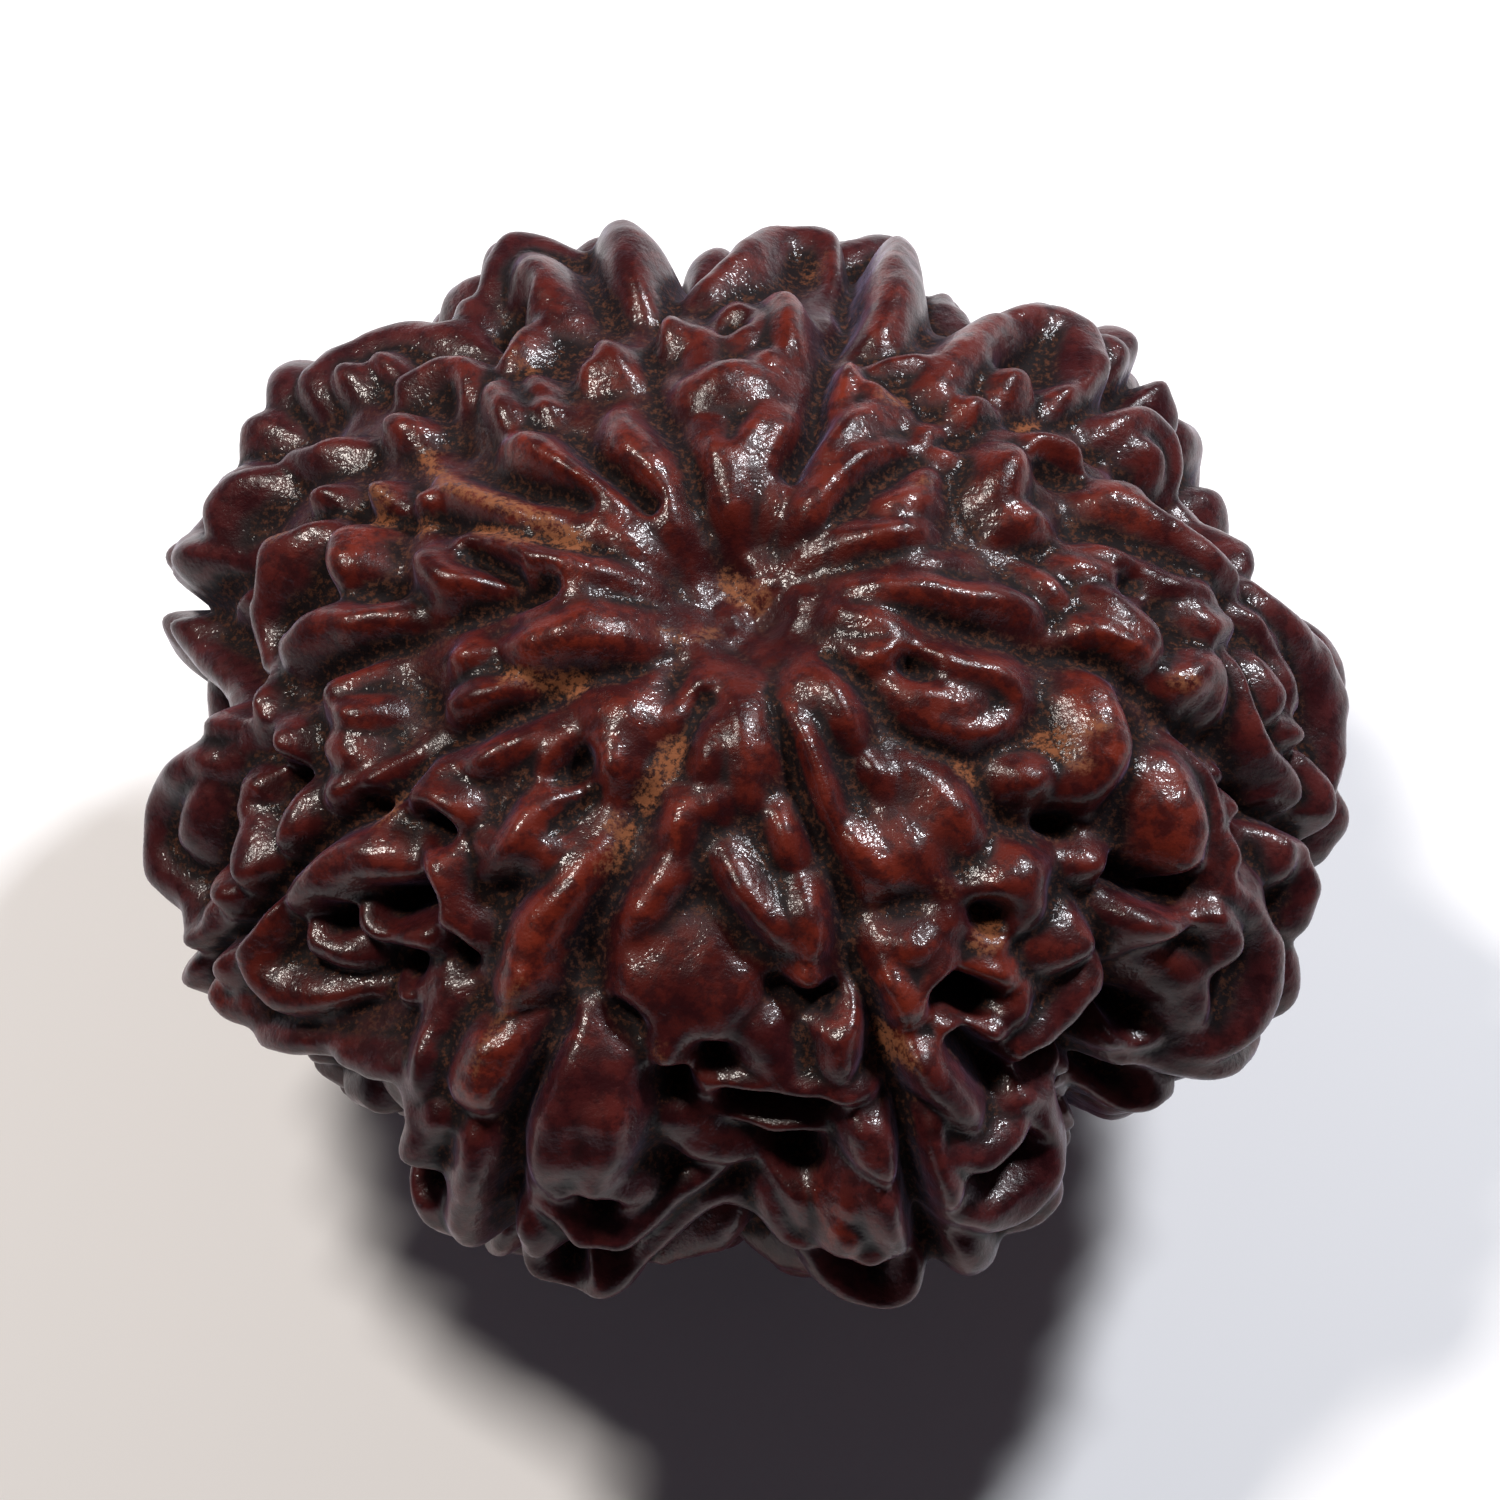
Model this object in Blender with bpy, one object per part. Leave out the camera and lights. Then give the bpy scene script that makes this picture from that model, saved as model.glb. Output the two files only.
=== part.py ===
"""Eight mukhi rudraksha bead: the stone of a fruit, grown as one piece.

Metres, +Z up along the bead's own axis, +X to the right and +Y away from the viewer.
The bead stands on a small worn flat at its lower end, with the origin under the middle of its box.

The bead is a low spheroid. Eight grooves, the mukhi lines, run from end to end and part it into faces.
Each face carries winding ridges and knobs, which are slim near the ends and bold at the waist.
Places on the bead are (azimuth, colatitude) in degrees: azimuth turns anticlockwise from +X seen from above,
and colatitude counts from the upper end. Widths, heights and depths in the lists are in millimetres.
"""

import math

import bmesh
import bpy
import numpy as np

MM = 0.001

# Driving dimensions, in metres
WIDTH = 26.0 * MM
HEIGHT = 17.2 * MM
HALF_WIDTH = WIDTH / 2
HALF_HEIGHT = HEIGHT / 2
UPPER_END_SHIFT = -0.6 * MM
DIMPLE_DEPTH = 1.3 * MM
DIMPLE_RADIUS = 2.2 * MM
FOOT_CUT = 0.3 * MM
FOOT_PAD_RADIUS = 1.9 * MM
FOOT_PAD_DROP = 0.15 * MM
FOOT_LEVELLING = 0.03 * MM

# How far the ground between the ridges lies under their tops, against colatitude
GROUND_AT = (0, 12, 30, 45, 60, 75, 95, 125, 150, 168, 180)
GROUND_DEPTH = (0.4, 0.6, 0.85, 1.0, 1.25, 1.6, 1.9, 1.6, 1.1, 0.7, 0.45)
GROUND_LUMP = 0.13 * MM
LUMP_LENGTH = 1.4 * MM

# Shape of one ridge, from its listed width and height: walls, ends, and what makes it slimmer or rounder
WIDTH_SHARE = 0.95
UPPER_WIDTH_SHARE = 1.05
UPPER_REGION = 36
WALL_SLOPE = 2.6
ROUNDNESS = 0.95
CREST_DEPTH = 1.3
END_TAPER = 0.12
END_DROP = 0.35 * MM
LONG_RIDGE = 3.0 * MM
SLIM_RIDGE = 0.6
SLIM_DROP = 0.5
KNOB_WIDTH_SHARE = 1.2
KNOB_WALL_SLOPE = 4.5

# How ridges join into a mass, and the seams between them
RIDGE_BLEND = 0.1 * MM
MASS_ROUNDS = 60
MASS_REACH = 0.38 * MM
SEAM_DEPTH = 0.38 * MM
SEAM_HALF_WIDTH = 0.14 * MM

# Valleys, pits and mukhi lines
VALLEY_BLEND = 0.07 * MM
PIT_SLOPE = 5.0
MUKHI_SLOPE = 6.0
MUKHI_HALF_WIDTH = 0.1 * MM
MUKHI_SHARE = 0.95
MUKHI_EXTRA = 0.32 * MM

# Slow waver of the whole surface
WOBBLE = 0.12 * MM
WOBBLE_LENGTH = 2.6 * MM
SEED = 8
PIECE_LENGTH = 0.6 * MM
REACH = 1.4 * MM

ICOSPHERE_SUBDIVISIONS = 8
SOFTENING_ROUNDS = 4
MELTING_ROUNDS = 6
TRIANGLES = 11700
WAVE_COUNT = 12
WAVE_STRETCH = (0.75, 1.45)
SWELL_LENGTH = 1.7 * WOBBLE_LENGTH
SEAM_FADE = 0.8 * MM
GROOVE_REACH = 0.8 * MM
FAR = 1.0

SHELL_COLOUR = (0.155, 0.04, 0.026, 1.0)
SHELL_ROUGHNESS = 0.32

# How far the bead's waist stands out past the spheroid, in millimetres, against azimuth
GIRTH = (
    (0, -0.1), (12, -0.05), (18, -0.4), (23, -1.3), (28, -0.9), (33, -0.4), (37, -0.1), (45, 0.1), (57, 0.05),
    (66, -0.85), (74, 0.15), (84, -0.05), (92, -0.2), (97, -0.8), (100, -0.7), (104, 0.0), (110, 0.35), (116, 0.95),
    (121, 0.5), (126, -0.3), (132, 0.35), (141, 0.85), (150, 0.4), (157, 0.6), (163, 0.55), (169, -0.4), (175, -1.25),
    (180, -1.2), (184, 0.05), (189, 0.05), (194, 0), (198, -0.5), (203, 0.2), (208, 0.2), (214, -0.1), (222, -0.8),
    (228, -0.4), (234, 0.3), (240, 0.3), (256, 0.2), (262, -0.9), (270, -1.1), (276, -0.5), (281, 0.15), (290, 0.1),
    (297, -0.3), (303, -0.5), (308, -1.3), (316, -1.1), (322, -0.2), (330, 0.05), (342, -0.1), (350, -0.15),
    (360, -0.1),
)
GIRTH_AT = (0, 46, 66, 105, 140, 180)
GIRTH_SHARE = (0, 0, 1, 1, 0, 0)
UNDERCUT_AT = (0, 90, 102, 118, 150, 180)
UNDERCUT = (0, 0, 0.8, 0.75, 0.3, 0)

# The eight mukhi lines, from the upper end to the lower one
MUKHI_LINES = (
    ((40, 12), (42, 17), (43, 22), (43, 27), (42.5, 31), (42, 35), (40.5, 40), (40, 48), (41, 56), (43, 63), (45, 80),
     (42, 105), (46, 130), (44, 165)),
    ((111, 11), (109.5, 16), (108.5, 22), (107, 28), (106, 34), (103, 40), (99, 50), (98, 60), (101, 85), (104, 120),
     (108, 165)),
    ((163, 14), (162, 20), (162, 27), (160, 34), (160, 41), (159, 47), (161, 54), (164, 60), (165, 68), (165, 76),
     (160, 95), (156, 120), (158, 165)),
    ((225, 10), (220, 15), (214, 20), (210, 25), (208, 30), (207, 34), (208, 38), (208.5, 41), (208, 45), (207, 54),
     (206, 63), (207, 70), (205, 80), (209, 120), (207, 165)),
    ((256, 13), (253, 18), (251, 22), (248.5, 26), (247, 29), (248, 33), (247.5, 37), (246, 42), (246.5, 46),
     (247, 51), (246, 57), (244.5, 63), (245, 70), (245.5, 78), (246, 95), (250, 130), (250, 165)),
    ((285, 12), (284.5, 17), (285, 21), (286.5, 26), (287.5, 31), (288.5, 36), (286.5, 41), (286, 46), (286.5, 52),
     (287, 58), (286.5, 70), (287, 76), (288, 90), (291, 120), (288, 165)),
    ((320, 12), (318, 16), (315.5, 21), (316, 24), (320, 27), (319, 31), (317.5, 36), (320, 40), (318.5, 45),
     (319, 50), (318, 56), (317, 61), (314, 65), (310, 69), (311, 75), (312, 90), (318, 125), (320, 165)),
    ((350, 12), (351, 20), (350, 27), (351, 34), (351, 42), (348, 50), (345, 57), (345, 64), (347, 72), (348, 88),
     (347, 125), (350, 165)),
)

# Ridges and knobs of each face: half width, height of the top over the spheroid, and the places run through
FACE_EAST_NORTH_EAST = (
    (0.45, 0, (357, 10), (0, 15), (359.5, 20), (358.5, 24), (358, 29)),
    (0.35, -0.2, (0, 10), (6, 15), (11, 20), (12, 24)),
    (0.42, 0, (28, 10), (25, 13), (22.5, 16), (21, 20)),
    (0.30, 0, (35, 6.5), (32, 10), (32, 13)),
    (0.42, 0, (30.5, 18), (29.5, 21)),
    (0.30, 0, (36, 22), (36, 23)),
    (0.52, 0, (34, 32), (31, 31.5), (28, 30), (25.5, 28.5)),
    (0.40, -0.2, (7, 31), (3, 33)),
    (0.42, -0.1, (20, 29), (19, 32)),
    (0.55, 0, (4, 37.5), (1, 40), (358, 42.5), None, (356.5, 36), (354, 38.5), (354, 41)),
    (0.30, 0, (14, 37), (12, 40), (11, 44), (10, 48)),
    (0.35, 0, (10, 35), (8, 38), (7, 42)),
    (0.50, 0, (10, 44), (8, 48), (6, 53)),
    (0.40, 0, (34, 38), (31, 41)),
    (0.40, 0, (24, 43), (22, 47), (20, 50)),
    (0.60, 0.05, (22, 42), (19, 46), (16, 50), (13, 54), (11, 58)),
    (0.55, 0, (26, 62), (22, 64), (18, 64), (15, 62)),
    (0.50, 0, (36, 52), (35, 58), (31, 61), (28, 60)),
    (0.35, 0, (33, 54), (30, 57)),
    (0.62, 0, (5, 48.5), (2.5, 51), (4, 53)),
    (0.65, 0, (352, 46), (355, 48.5), (357, 51), (354, 53)),
    (0.45, 0, (2, 52), (359, 55), (355.5, 57.5), (352.5, 59.5), (351, 64), (350.5, 68), (348, 71)),
    (0.50, 0, (0, 58.5), (357, 62)),
    (0.50, 0, (6, 62), (3, 64), (1, 66), (359, 67)),
    (0.70, 0, (12, 60), (9, 64), (8, 69), (6, 74), (3, 78), (358, 80), (353, 81)),
    (0.50, 0, (8, 58), (5, 62), (2, 66), (359, 69)),
    (0.50, 0, (354, 72), (352, 76), (349, 78), (346, 77)),
    (0.40, 0, (356, 66), (356, 67)),
)
FACE_NORTH_EAST = (
    (0.50, 0.05, (54, 9), (51.5, 12), (51, 15), (50, 18), (48, 21), (46, 24)),
    (0.70, -0.15, (59, 16), (58.5, 21), (57, 26)),
    (0.30, 0, (65.5, 19), (64, 21)),
    (0.30, -0.1, (73, 7), (70, 10), (70, 14), (71, 18)),
    (0.40, -0.1, (76, 13), (76, 17), (77, 21)),
    (0.42, 0.05, (90, 6.5), (93.5, 10), (96, 12.5), (98, 15.5), (98, 18), (95, 21), None, (90, 6.5), (86.5, 12),
     (84, 16), (82.5, 20), (81, 23)),
    (0.30, 0, (99, 17), (99, 20)),
    (0.75, -0.1, (99, 24), (92, 24), (86, 24.5)),
    (0.35, 0.1, (92.5, 24), (92.5, 26)),
    (0.40, 0, (84, 25), (84, 28)),
    (0.40, 0, (102, 34), (102, 36)),
    (0.45, 0, (84, 41), (82, 36), (81, 31)),
    (0.60, 0, (95, 46), (91, 52), (86, 60), (80, 60), (77, 54)),
    (0.40, 0, (70, 30), (68, 27), (67, 25)),
    (0.85, 0.1, (73, 66), (72, 58), (70, 48), (68, 40)),
    (0.30, 0, (63, 34), (58, 36)),
    (0.40, 0, (62, 28), (54, 27)),
    (0.55, 0, (53, 33), (55, 40), (56, 48), (55, 56), (51, 60), (47, 57), (43, 54), (41, 50)),
    (0.40, 0, (47, 41), (47, 43)),
    (0.40, 0, (42, 48), (42, 49)),
    (0.40, 0, (46, 34), (42, 36)),
    (0.35, 0, (44, 28), (42, 27)),
    (0.50, 0, (50, 64), (46, 66), (42, 68), (39, 70)),
    (0.45, -0.2, (89, 31), (91, 41)),
    (0.40, -0.3, (97, 28), (96, 36)),
)
FACE_NORTH_WEST = (
    (0.50, 0, (136, 7), (131, 9.5), (124.5, 13), (121.5, 15), (121, 18), (121, 21.5), (120.5, 24)),
    (0.50, 0, (139, 13), (140.5, 16), (140.5, 19), (139.5, 23), (139, 27), (140, 31)),
    (0.35, -0.1, (153, 9), (150, 12), (151, 16)),
    (0.45, -0.15, (152, 37), (155, 31), (157, 25), (158, 19)),
    (0.35, 0, (113, 36), (113, 31)),
    (0.30, 0, (118, 32), (118, 33)),
    (0.20, 0, (126, 36), (126, 37)),
    (0.20, 0, (127, 34), (127, 35)),
    (0.20, 0, (130.5, 31), (130.5, 32)),
    (0.42, 0, (132, 39), (134, 37), (136.5, 33.5)),
    (0.40, 0, (144, 47), (144, 45)),
    (0.42, 0, (138, 52), (134.5, 49.5), (132, 46), (133, 43.5), (135.5, 42)),
    (0.40, 0, (119, 46), (123, 43), (127, 42)),
    (0.80, 0, (141, 66), (135, 64), (129, 60), (126, 54)),
    (0.40, 0, (135.5, 58), (136, 57)),
    (0.40, 0, (139, 60), (139, 61)),
    (0.75, 0.35, (104, 62), (104, 54), (104, 45)),
    (0.50, 0, (121, 58), (115, 62), (110, 60)),
    (0.75, 0, (115, 56), (116, 50), (117, 45)),
    (0.50, 0, (125, 60), (124, 57)),
    (0.60, 0, (146, 70), (150, 73)),
    (0.45, -0.3, (149, 53), (151, 60)),
)
FACE_WEST = (
    (0.58, 0, (165, 28), (168, 25), (172, 21), (174.5, 17), (175, 13), (176, 9)),
    (0.30, -0.1, (184, 22), (186, 17), (188, 12)),
    (0.64, 0, (196.5, 23), (198, 20), (200, 17), (203, 13), (206, 10)),
    (0.35, 0, (202, 31), (204, 28), (206, 25)),
    (0.50, 0, (170, 33), (173, 30.5), (176.5, 27), (179, 24)),
    (0.60, 0, (165, 44), (169, 42.5)),
    (0.35, 0, (156, 43), (160, 41)),
    (0.30, 0, (157, 50), (157, 51)),
    (0.30, 0, (157, 35), (157, 36)),
    (0.60, 0, (181, 36), (180, 40), (179, 44), (179, 50), (178, 56)),
    (0.50, 0, (162, 49), (165, 53), (168, 57), (172, 60), (177, 59), (182, 57), (187, 56), (190, 55)),
    (0.50, 0, (154, 62), (157, 66), (160, 68)),
    (0.50, 0, (153, 72), (158, 76), (163, 78)),
    (0.60, 0, (157, 76), (162, 79), (167, 80), (172, 78), (176, 73), (180, 68), (184, 63), (187, 59)),
    (0.40, 0, (191, 45), (188, 42), (186, 39)),
    (0.50, 0, (193, 43), (195, 41)),
    (0.30, 0, (194, 27), (194, 29)),
    (0.60, 0, (203, 48), (206, 44), (208, 39)),
    (0.60, -0.15, (198, 45), (201, 43)),
    (0.35, 0, (187, 58), (189, 55), (192, 52), (194, 53), (195, 55)),
    (0.60, 0.3, (189, 64), (187, 70), (187, 76), (190, 81), (194, 83), (198, 82), (202, 80), (204, 77)),
    (0.50, 0, (190, 67), (192, 71), (195, 75)),
    (0.40, 0, (200, 71), (203, 69)),
    (0.40, 0, (201, 74), (201, 78)),
    (0.60, 0, (196, 61), (199, 62), (203, 63)),
    (0.50, 0, (201, 52), (203, 54), (205, 56)),
    (0.40, 0, (194, 60), (196, 58)),
    (0.50, -0.8, (189, 60), (189, 61)),
)
FACE_SOUTH_WEST = (
    (0.22, 0, (235, 17), (235, 18)),
    (0.20, 0, (226, 20), (226, 21)),
    (0.20, 0, (229, 18), (229, 19)),
    (0.36, 0.05, (242.5, 15), (241, 18.5), (240, 21.5), (241, 25), None, (235, 21), (240, 22)),
    (0.85, -0.15, (230, 15), (233, 19), (237, 23)),
    (0.42, -0.1, (212, 33), (210.5, 36), (208, 39)),
    (0.40, 0, (218, 24.5), (217, 27), (215, 31), (212, 34)),
    (0.32, -0.1, (221, 22), (224, 25.5), (227, 28)),
    (0.50, 0, (211, 39), (214.5, 37), (218, 36)),
    (0.85, 0, (209.5, 60), (210.5, 55), (211.5, 50), (214, 47), (218, 46)),
    (0.30, 0, (211, 45), (211, 46)),
    (0.30, 0, (208, 48), (208, 49)),
    (0.50, 0, (230, 27), (231, 31), (230, 35), (228, 39)),
    (0.35, 0, (227, 37.5), (225, 37)),
    (0.75, 0, (220, 41), (224, 43.5), (228, 45.5), (231, 46)),
    (0.50, -0.2, (217, 56), (221, 54), (225, 51), (228, 49)),
    (0.40, -0.5, (220, 52), (223, 50)),
    (0.60, 0, (207, 64), (209, 68), (211, 72), (214, 72), (217, 70), (220, 67), (222, 65)),
    (0.50, -0.3, (214, 62), (217, 62), (219, 61)),
    (0.80, -0.2, (206, 80), (209, 82), (211, 81)),
    (0.60, 0, (206, 72), (208, 76), (209, 80)),
    (0.60, 0, (212, 78), (214, 82), (217, 79), (221, 74), (225, 71), (229, 68), (232, 67)),
    (0.45, -0.6, (219, 72), (223, 68), (227, 64)),
    (0.60, -0.7, (229, 58), (231, 55), (233, 57)),
    (0.40, -0.3, (227, 60), (226, 61)),
    (0.45, 0, (232, 60), (233, 65), (232, 69)),
    (0.40, -0.2, (236, 31), (235, 36)),
    (0.60, 0, (243, 33), (241.5, 38), (240, 42), (240, 47), (240.5, 52)),
    (0.80, 0, (242, 54), (241, 58), (240, 62)),
    (0.45, 0, (237, 68), (235.5, 73), (236, 78)),
    (0.60, 0, (241, 66), (242, 72), (242, 78), (242, 84), (242, 89)),
    (0.50, -0.2, (236, 83), (238, 87), (240, 90)),
    (0.35, -0.2, (230, 64), (232, 69), (235, 71), (238, 71)),
    (0.40, -0.3, (221, 16), (222, 21)),
)
FACE_SOUTH = (
    (0.35, -0.1, (251.5, 11), (250.5, 14), (249.5, 17)),
    (0.28, 0, (255, 9.5), (254.5, 11)),
    (0.25, 0, (262, 9), (262, 11)),
    (0.38, 0, (262, 15), (261.5, 18), (261.5, 21)),
    (0.30, 0, (265, 22.5), (265, 24)),
    (0.36, 0, (258, 23.5), (257.5, 28)),
    (0.45, 0, (268, 11), (270.5, 15), (272, 19), (273.5, 23)),
    (0.35, 0, (275, 10), (279, 13.5), (281, 17), (280, 20)),
    (0.35, 0, (280, 25), (280, 30)),
    (0.42, 0, (257, 31), (255.5, 34), (254, 37), (252.5, 40)),
    (0.40, 0, (267, 29), (271, 32), (274, 35), (277, 38)),
    (0.35, 0, (281, 34), (281, 37), (280, 40)),
    (0.40, -0.2, (279, 42), (279, 43)),
    (0.75, -0.3, (255.5, 41), (254.5, 46), None, (260, 38), (258.5, 43), (257.5, 48), None, (265, 38), (263.5, 44),
     (262, 49), None, (268.5, 43), (267, 48)),
    (0.82, 0, (250, 51.5), (249.5, 55), (249.5, 60), (249.5, 66), (249.5, 71), None, (254, 54), (254.5, 59),
     (255, 64), (255, 70)),
    (0.50, 0, (248, 73), (252, 71.5), (256, 70), (259, 72)),
    (0.20, 0, (274, 48.5), (274, 49)),
    (0.45, 0, (282, 47), (281.5, 50), (281, 53)),
    (0.70, -0.3, (271, 49), (273, 53)),
    (0.55, 0, (268, 56.5), (272, 56.5), (276, 55.5), (280, 56), (283, 57)),
    (0.50, -0.25, (265, 57), (267, 60.5), (271, 62), (275, 62), (277, 63)),
    (0.65, 0, (282, 61), (283.5, 65), (284, 68)),
    (0.70, -0.25, (262, 62), (265, 66), (269, 69)),
    (0.40, 0, (248.5, 76), (252, 76.5), (254, 79), (256.5, 79.5), (259.5, 77), (263, 73.5), (267, 70.5), (270, 71)),
    (0.45, -0.15, (247, 84), (249, 90), (252, 91), (254, 89), (256, 91), (259, 87), (262, 82), (265, 77.5),
     (268, 77.5), (270, 80)),
    (0.50, 0, (248, 80), (249, 84)),
    (0.40, 0, (260, 49), (261, 53)),
    (0.35, 0, (265, 53), (265, 57), (266, 60)),
    (0.25, 0, (257.5, 73.5), (257.5, 74.5)),
    (0.50, -0.3, (272, 71), (274, 74), (275, 78)),
    (0.45, 0, (271, 74), (272, 79), (274, 82), (276, 81)),
    (0.45, 0, (278.5, 70), (279, 73)),
    (0.60, 0, (278, 74), (278.5, 79)),
    (0.85, 0, (283, 70), (284.5, 75), (285, 80)),
    (0.50, 0, (279, 81), (282, 80), (285, 82)),
    (0.50, 0, (275, 86), (276.5, 91), (279, 91.5), (282, 90), (285, 89), (287, 85), (286.5, 81)),
)
FACE_SOUTH_EAST = (
    (0.48, 0.1, (288, 13), (288.5, 17), (289.5, 22), (290.5, 27), (292, 31), (293, 34.5)),
    (0.38, 0.05, (314, 11), (309.5, 13.5), (307, 16), (304, 19), (303.5, 21)),
    (0.32, 0, (300, 12), (299, 15)),
    (0.38, 0, (304.5, 24), (304.5, 26)),
    (0.80, -0.35, (295, 30), (296, 34), None, (301, 29), (302.5, 35)),
    (0.60, -0.2, (311.5, 26), (312, 30), (311.5, 35)),
    (0.50, -0.3, (307, 28), (308, 33)),
    (0.50, 0, (291, 42), (295, 42.5), (298, 42)),
    (0.60, 0, (290.5, 43), (290, 47), (289, 51)),
    (0.50, 0, (298, 43), (295, 46), (291, 50)),
    (0.35, 0, (299, 41), (301, 42)),
    (0.55, 0, (309, 41), (313, 41), (317, 41.5), None, (312, 42), (311.5, 45)),
    (0.35, 0, (304, 44), (306, 46), (305, 48)),
    (0.30, -0.2, (302.5, 38), (304, 39)),
    (0.60, 0, (301.5, 49.5), (305, 50)),
    (0.45, 0, (307, 52), (305, 54), (304, 56)),
    (0.40, 0, (295, 53), (298, 55), (301, 57)),
    (0.75, 0, (311, 51), (314.5, 52), (317, 53)),
    (0.30, 0, (308.5, 54), (309, 55)),
    (0.85, 0, (317, 57), (313, 58), (309, 60), (305, 61), (302, 62)),
    (0.70, 0, (289, 52), (291, 56), (293, 60), (294, 64)),
    (0.70, 0, (292, 67), (296, 69), (299, 70)),
    (0.55, 0, (290, 63), (289.5, 69), (290, 75), (290.5, 81)),
    (0.90, 0, (291, 78), (295, 80), (299, 81), (302, 79)),
    (0.70, -0.1, (290.5, 84), (292, 89), (293, 92)),
    (0.60, 0, (302, 70), (303, 75), (303, 80), (300, 85), (296, 88)),
    (0.40, 0, (299, 66), (302, 68), (304, 71)),
    (0.35, 0, (306, 68), (305, 72), (304, 76)),
)
FACE_EAST_SOUTH_EAST = (
    (0.35, 0, (345, 10), (343, 14), (342, 18)),
    (0.42, 0, (322, 12), (328, 15.5), (334, 17.5), (337.5, 21), (339.5, 24), (341, 27.5), (339, 30.5)),
    (0.42, 0, (319, 19), (321, 22.5), (324, 25), (327, 27.5), (331, 29.5), (334, 30.5)),
    (0.60, -0.15, (326, 20), (328.5, 23.5), (333, 26)),
    (0.85, 0.05, (344, 37), (340, 39), (336, 40), (332, 40)),
    (0.45, -0.1, (325, 34), (328, 35.5)),
    (0.95, 0.05, (339, 49), (336, 51), (333, 54)),
    (0.45, -0.1, (345, 49), (343, 53), (340, 56), (336, 57.5), (332, 58)),
    (0.50, 0, (344, 58), (342, 60), (341, 62)),
    (0.45, 0, (338, 59), (336, 61)),
    (0.45, 0, (347, 68), (344, 70), (341, 71)),
    (0.40, -0.3, (322, 46), (325, 48)),
    (0.65, 0, (321.5, 55), (325, 57), (328, 58.5)),
    (0.50, -0.1, (329, 59), (330, 63), (329, 67), (326, 69)),
    (0.55, 0, (334, 61), (335, 66), (334, 72), (332, 77), (328, 80), (323, 80), (319, 78)),
    (0.80, -0.5, (322, 64), (324, 70), (322, 75)),
    (0.45, -0.1, (309, 73), (313, 75), (317, 79), (321, 84), (325, 87), (329, 90)),
    (0.50, 0, (307, 68), (311, 69), (315, 72), (318, 75)),
    (0.60, 0, (345, 72), (342, 77), (339, 80)),
    (0.60, -0.2, (337, 84), (335, 88), (333, 92)),
    (0.50, -0.4, (337, 66), (337, 68)),
)
FACES = (
    FACE_EAST_NORTH_EAST,
    FACE_NORTH_EAST,
    FACE_NORTH_WEST,
    FACE_WEST,
    FACE_SOUTH_WEST,
    FACE_SOUTH,
    FACE_SOUTH_EAST,
    FACE_EAST_SOUTH_EAST,
)

# Valleys and pits: half width, depth under the spheroid, and the places that they run through
VALLEYS = (
    (0.22, 1.5, (67, 15), (68.5, 20), (72, 26), (74, 33), (75, 45), (77, 55), (78, 65)),
    (0.22, 1.3, (181, 18), (182, 25), (184, 32), (184.5, 38), (185, 45), (186, 50)),
    (0.22, 1.4, (229.5, 24), (229, 27)),
    (0.20, 1.1, (236, 26), (235, 31)),
    (0.20, 1.2, (170, 28), (173, 25), (176, 22)),
    (0.20, 1.0, (148.5, 28), (149, 23), (148, 18)),
    (0.22, 1.9, (296, 56), (298, 61), (299, 63)),
    (0.26, 2.2, (313, 64), (307, 65), (303.5, 64)),
    (0.26, 1.2, (17, 37), (17, 38)),
    (0.18, 1.2, (8, 41), (8, 42)),
    (0.24, 1.5, (31, 37), (27, 41)),
    (0.30, 1.5, (33, 48), (33, 49)),
    (0.24, 1.5, (22, 49), (22, 50)),
    (0.22, 1.7, (358, 71), (358, 72)),
    (0.36, 1.3, (92, 36), (92, 37)),
    (0.40, 1.5, (49, 46), (49, 49)),
    (0.30, 1.9, (123, 52), (120, 52)),
    (0.22, 1.1, (131.5, 13), (132, 17), (131.5, 22), (130.5, 27)),
    (0.30, 1.4, (174, 38), (174, 40)),
    (0.32, 2.2, (166, 60), (166, 62)),
    (0.22, 1.9, (184, 58), (182, 60)),
    (0.30, 1.9, (196, 54), (197, 55)),
    (0.20, 1.6, (191, 55), (192, 56)),
    (0.22, 1.5, (216, 40), (218, 40)),
    (0.20, 1.4, (207, 45), (207, 46)),
    (0.24, 2.1, (219, 52), (221, 49), (223, 47)),
    (0.28, 1.9, (214.5, 59), (215, 58)),
    (0.28, 2.0, (224.5, 57.5), (225, 58)),
    (0.28, 1.8, (230, 50), (231, 51)),
    (0.24, 2.1, (236, 80), (237, 81)),
    (0.20, 1.5, (274, 44), (278.5, 46), (282, 45.5)),
    (0.18, 1.4, (253, 48), (256, 49.5)),
    (0.32, 2.0, (260.5, 56.5), (261, 58)),
    (0.26, 1.8, (266, 52), (266, 53)),
    (0.40, 2.5, (276, 67.5), (275, 68)),
    (0.26, 2.0, (254.5, 73.5), (255, 74)),
    (0.28, 2.3, (255.5, 83), (256, 84)),
    (0.26, 2.2, (252, 87), (252, 88)),
    (0.30, 2.3, (279, 85), (281, 86)),
    (0.24, 1.9, (268, 59.5), (273, 59.5), (278, 59)),
    (0.28, 1.7, (306, 43.5), (307, 44)),
    (0.28, 2.2, (297, 49), (300.5, 52)),
    (0.26, 1.9, (294, 74), (299, 74)),
    (0.30, 1.2, (332.5, 19.5), (333, 20.5)),
    (0.34, 1.9, (324, 41), (325, 42)),
    (0.28, 2.2, (317.5, 69), (318, 70)),
    (0.28, 2.0, (341, 62), (341, 63)),
    (0.26, 2.0, (346, 64), (346, 65)),
    (0.24, 2.0, (326, 51), (327, 54), (329, 57.5), (331, 58)),
    (0.55, 3.0, (306, 84), (312, 82), (317, 90)),
    (0.40, 2.6, (262, 89), (268, 86), (272, 89)),
)

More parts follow.
